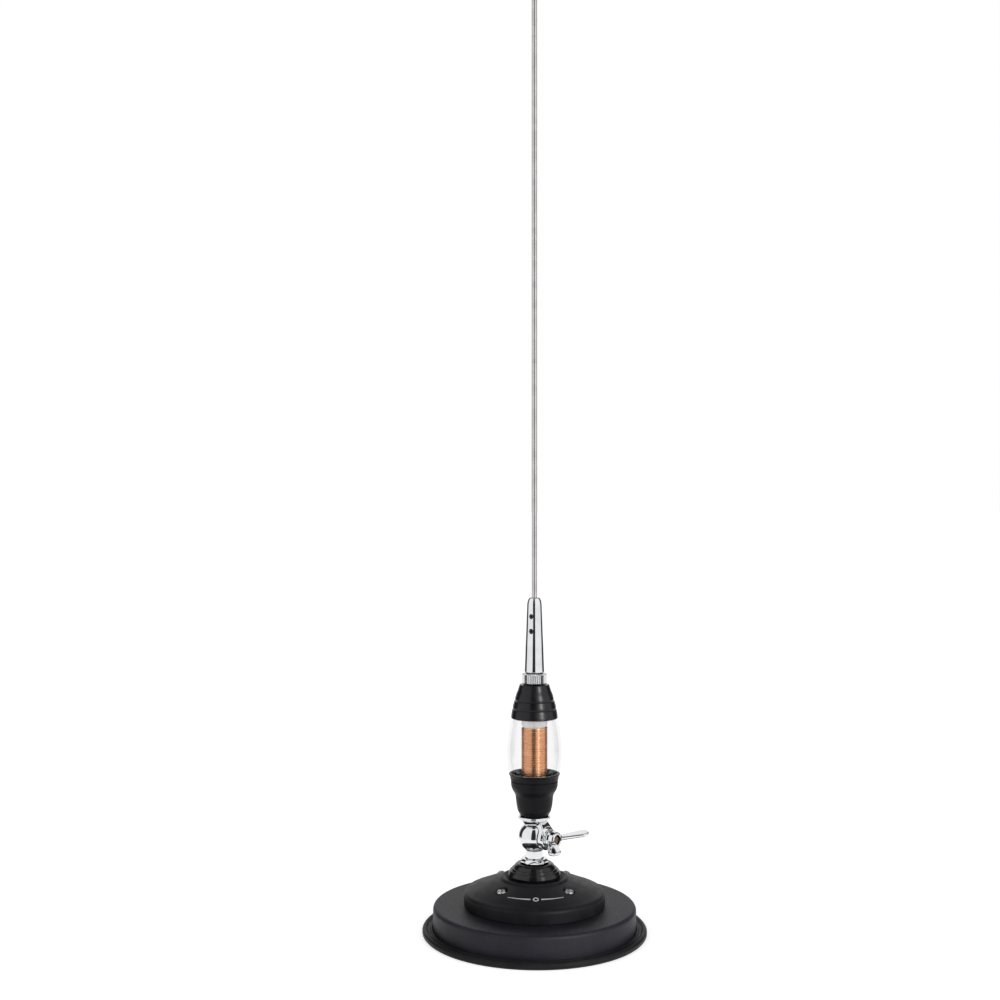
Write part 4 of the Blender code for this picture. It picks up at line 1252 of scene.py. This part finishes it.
def studio_light():
    """A white tent that the camera sees as plain white.

    The metal mirrors a dark slot round the camera, a dark flag on each side, a dimmer wall behind
    the object and a dark opening overhead. Azimuths are in degrees from the camera's side, to the right.
    """
    world = bpy.data.worlds.new("studio")
    bpy.context.scene.world = world
    world.use_nodes = True
    graph = Graph(world.node_tree)
    world.node_tree.nodes.clear()
    direction = graph.result("TexCoord", output="Generated")
    parts = graph.node("SeparateXYZ", {0: direction}).outputs
    away = graph.times(parts["Y"], -1.0)
    azimuth = graph.times(graph.math("ARCTAN2", parts["X"], away), 180 / pi)
    elevation = graph.times(graph.math("ARCSINE", parts["Z"]), 180 / pi)

    slot = graph.times(window(graph, azimuth, -25, 10, 3), window(graph, elevation, -26, 58, 5))
    flags = graph.math("ADD", window(graph, azimuth, -146, -106, 6), window(graph, azimuth, 104, 148, 6))
    flags = graph.times(flags, window(graph, elevation, -12, 50, 3))
    lean = radians(75)
    likeness = graph.vector("DOT_PRODUCT", direction, (0, cos(lean), sin(lean)), output="Value")
    opening = graph.ramp(likeness, cos(radians(36)), cos(radians(28)), 0.0, 0.85)
    dark = graph.math("MAXIMUM", graph.math("MAXIMUM", slot, flags), opening)
    rear = graph.ramp(graph.math("ABSOLUTE", azimuth), 146, 156, 0.0, 0.42)
    rear = graph.times(rear, graph.ramp(elevation, 6, 0))
    level = graph.math("MINIMUM", graph.rest(graph.times(dark, 0.97)), graph.rest(rear))

    tent = graph.result("Background", {"Color": (1, 1, 1), "Strength": level})
    plain = graph.result("Background", {"Color": (1, 1, 1), "Strength": 1.0})
    seen = graph.result("LightPath", output="Is Camera Ray")
    graph.show(graph.node("OutputWorld"), seen, tent, plain)


def studio_panel(power, pieces):
    """A tall soft light to the front right, which puts the highlights on the black and copper pieces."""
    data = bpy.data.lights.new("side_panel", "AREA")
    data.shape = "RECTANGLE"
    data.size, data.size_y = (length * MM for length in PANEL_SIZE)
    data.energy = power
    panel = add_object("side_panel", data)
    place = Vector(PANEL_PLACE) * MM
    panel.location = place
    panel.rotation_euler = (place - Vector((0, 0, 0.1))).to_track_quat("Z", "Y").to_euler()
    panel.visible_camera = False
    lit = bpy.data.collections.new("panel_lit")
    for name in pieces:
        lit.objects.link(bpy.data.objects[name])
    panel.light_linking.receiver_collection = lit


def studio_floor():
    """A pale sheet that glows a little, so that only the contact shadow sets it off."""
    reach = FLOOR_HALF_SIZE
    below = -0.02
    corners = [(x * reach, y * reach, below) for x, y in ((-1, -1), (1, -1), (1, 1), (-1, 1))]
    floor = mesh_object("studio_floor", corners, [(0, 1, 2, 3)])
    look = Finish("pale_paper", Specular_IOR_Level=0.0, Emission_Color=(1, 1, 1), Emission_Strength=0.62)
    tone = look.mix(look.noise(30.0, 3.0), (0.82, 0.82, 0.82), (0.84, 0.84, 0.84))
    floor.data.materials.append(look.done(tone, 1.0))
    out = look.vector("LENGTH", look.place, output="Value")
    near = look.ramp(out, SHEET_RADIUS + 40, SHEET_RADIUS - 40)
    seen = look.math("MAXIMUM", near, look.result("LightPath", output="Is Camera Ray"))
    clear_air = look.result("BsdfTransparent", {"Color": (1, 1, 1)})
    look.show(look.output, seen, clear_air, look.shader.outputs[0])


def camera():
    data = bpy.data.cameras.new("camera")
    data.lens = CAMERA_LENS
    data.clip_end = 100
    made = add_object("camera", data)
    made.location = Vector(CAMERA_PLACE) * MM
    made.rotation_euler = (radians(90), 0, 0)
    bpy.context.scene.camera = made


build_antenna()
studio_light()
for power, pieces in PANELS:
    studio_panel(power, pieces)
studio_floor()
camera()
bpy.context.scene.view_settings.view_transform = "Standard"
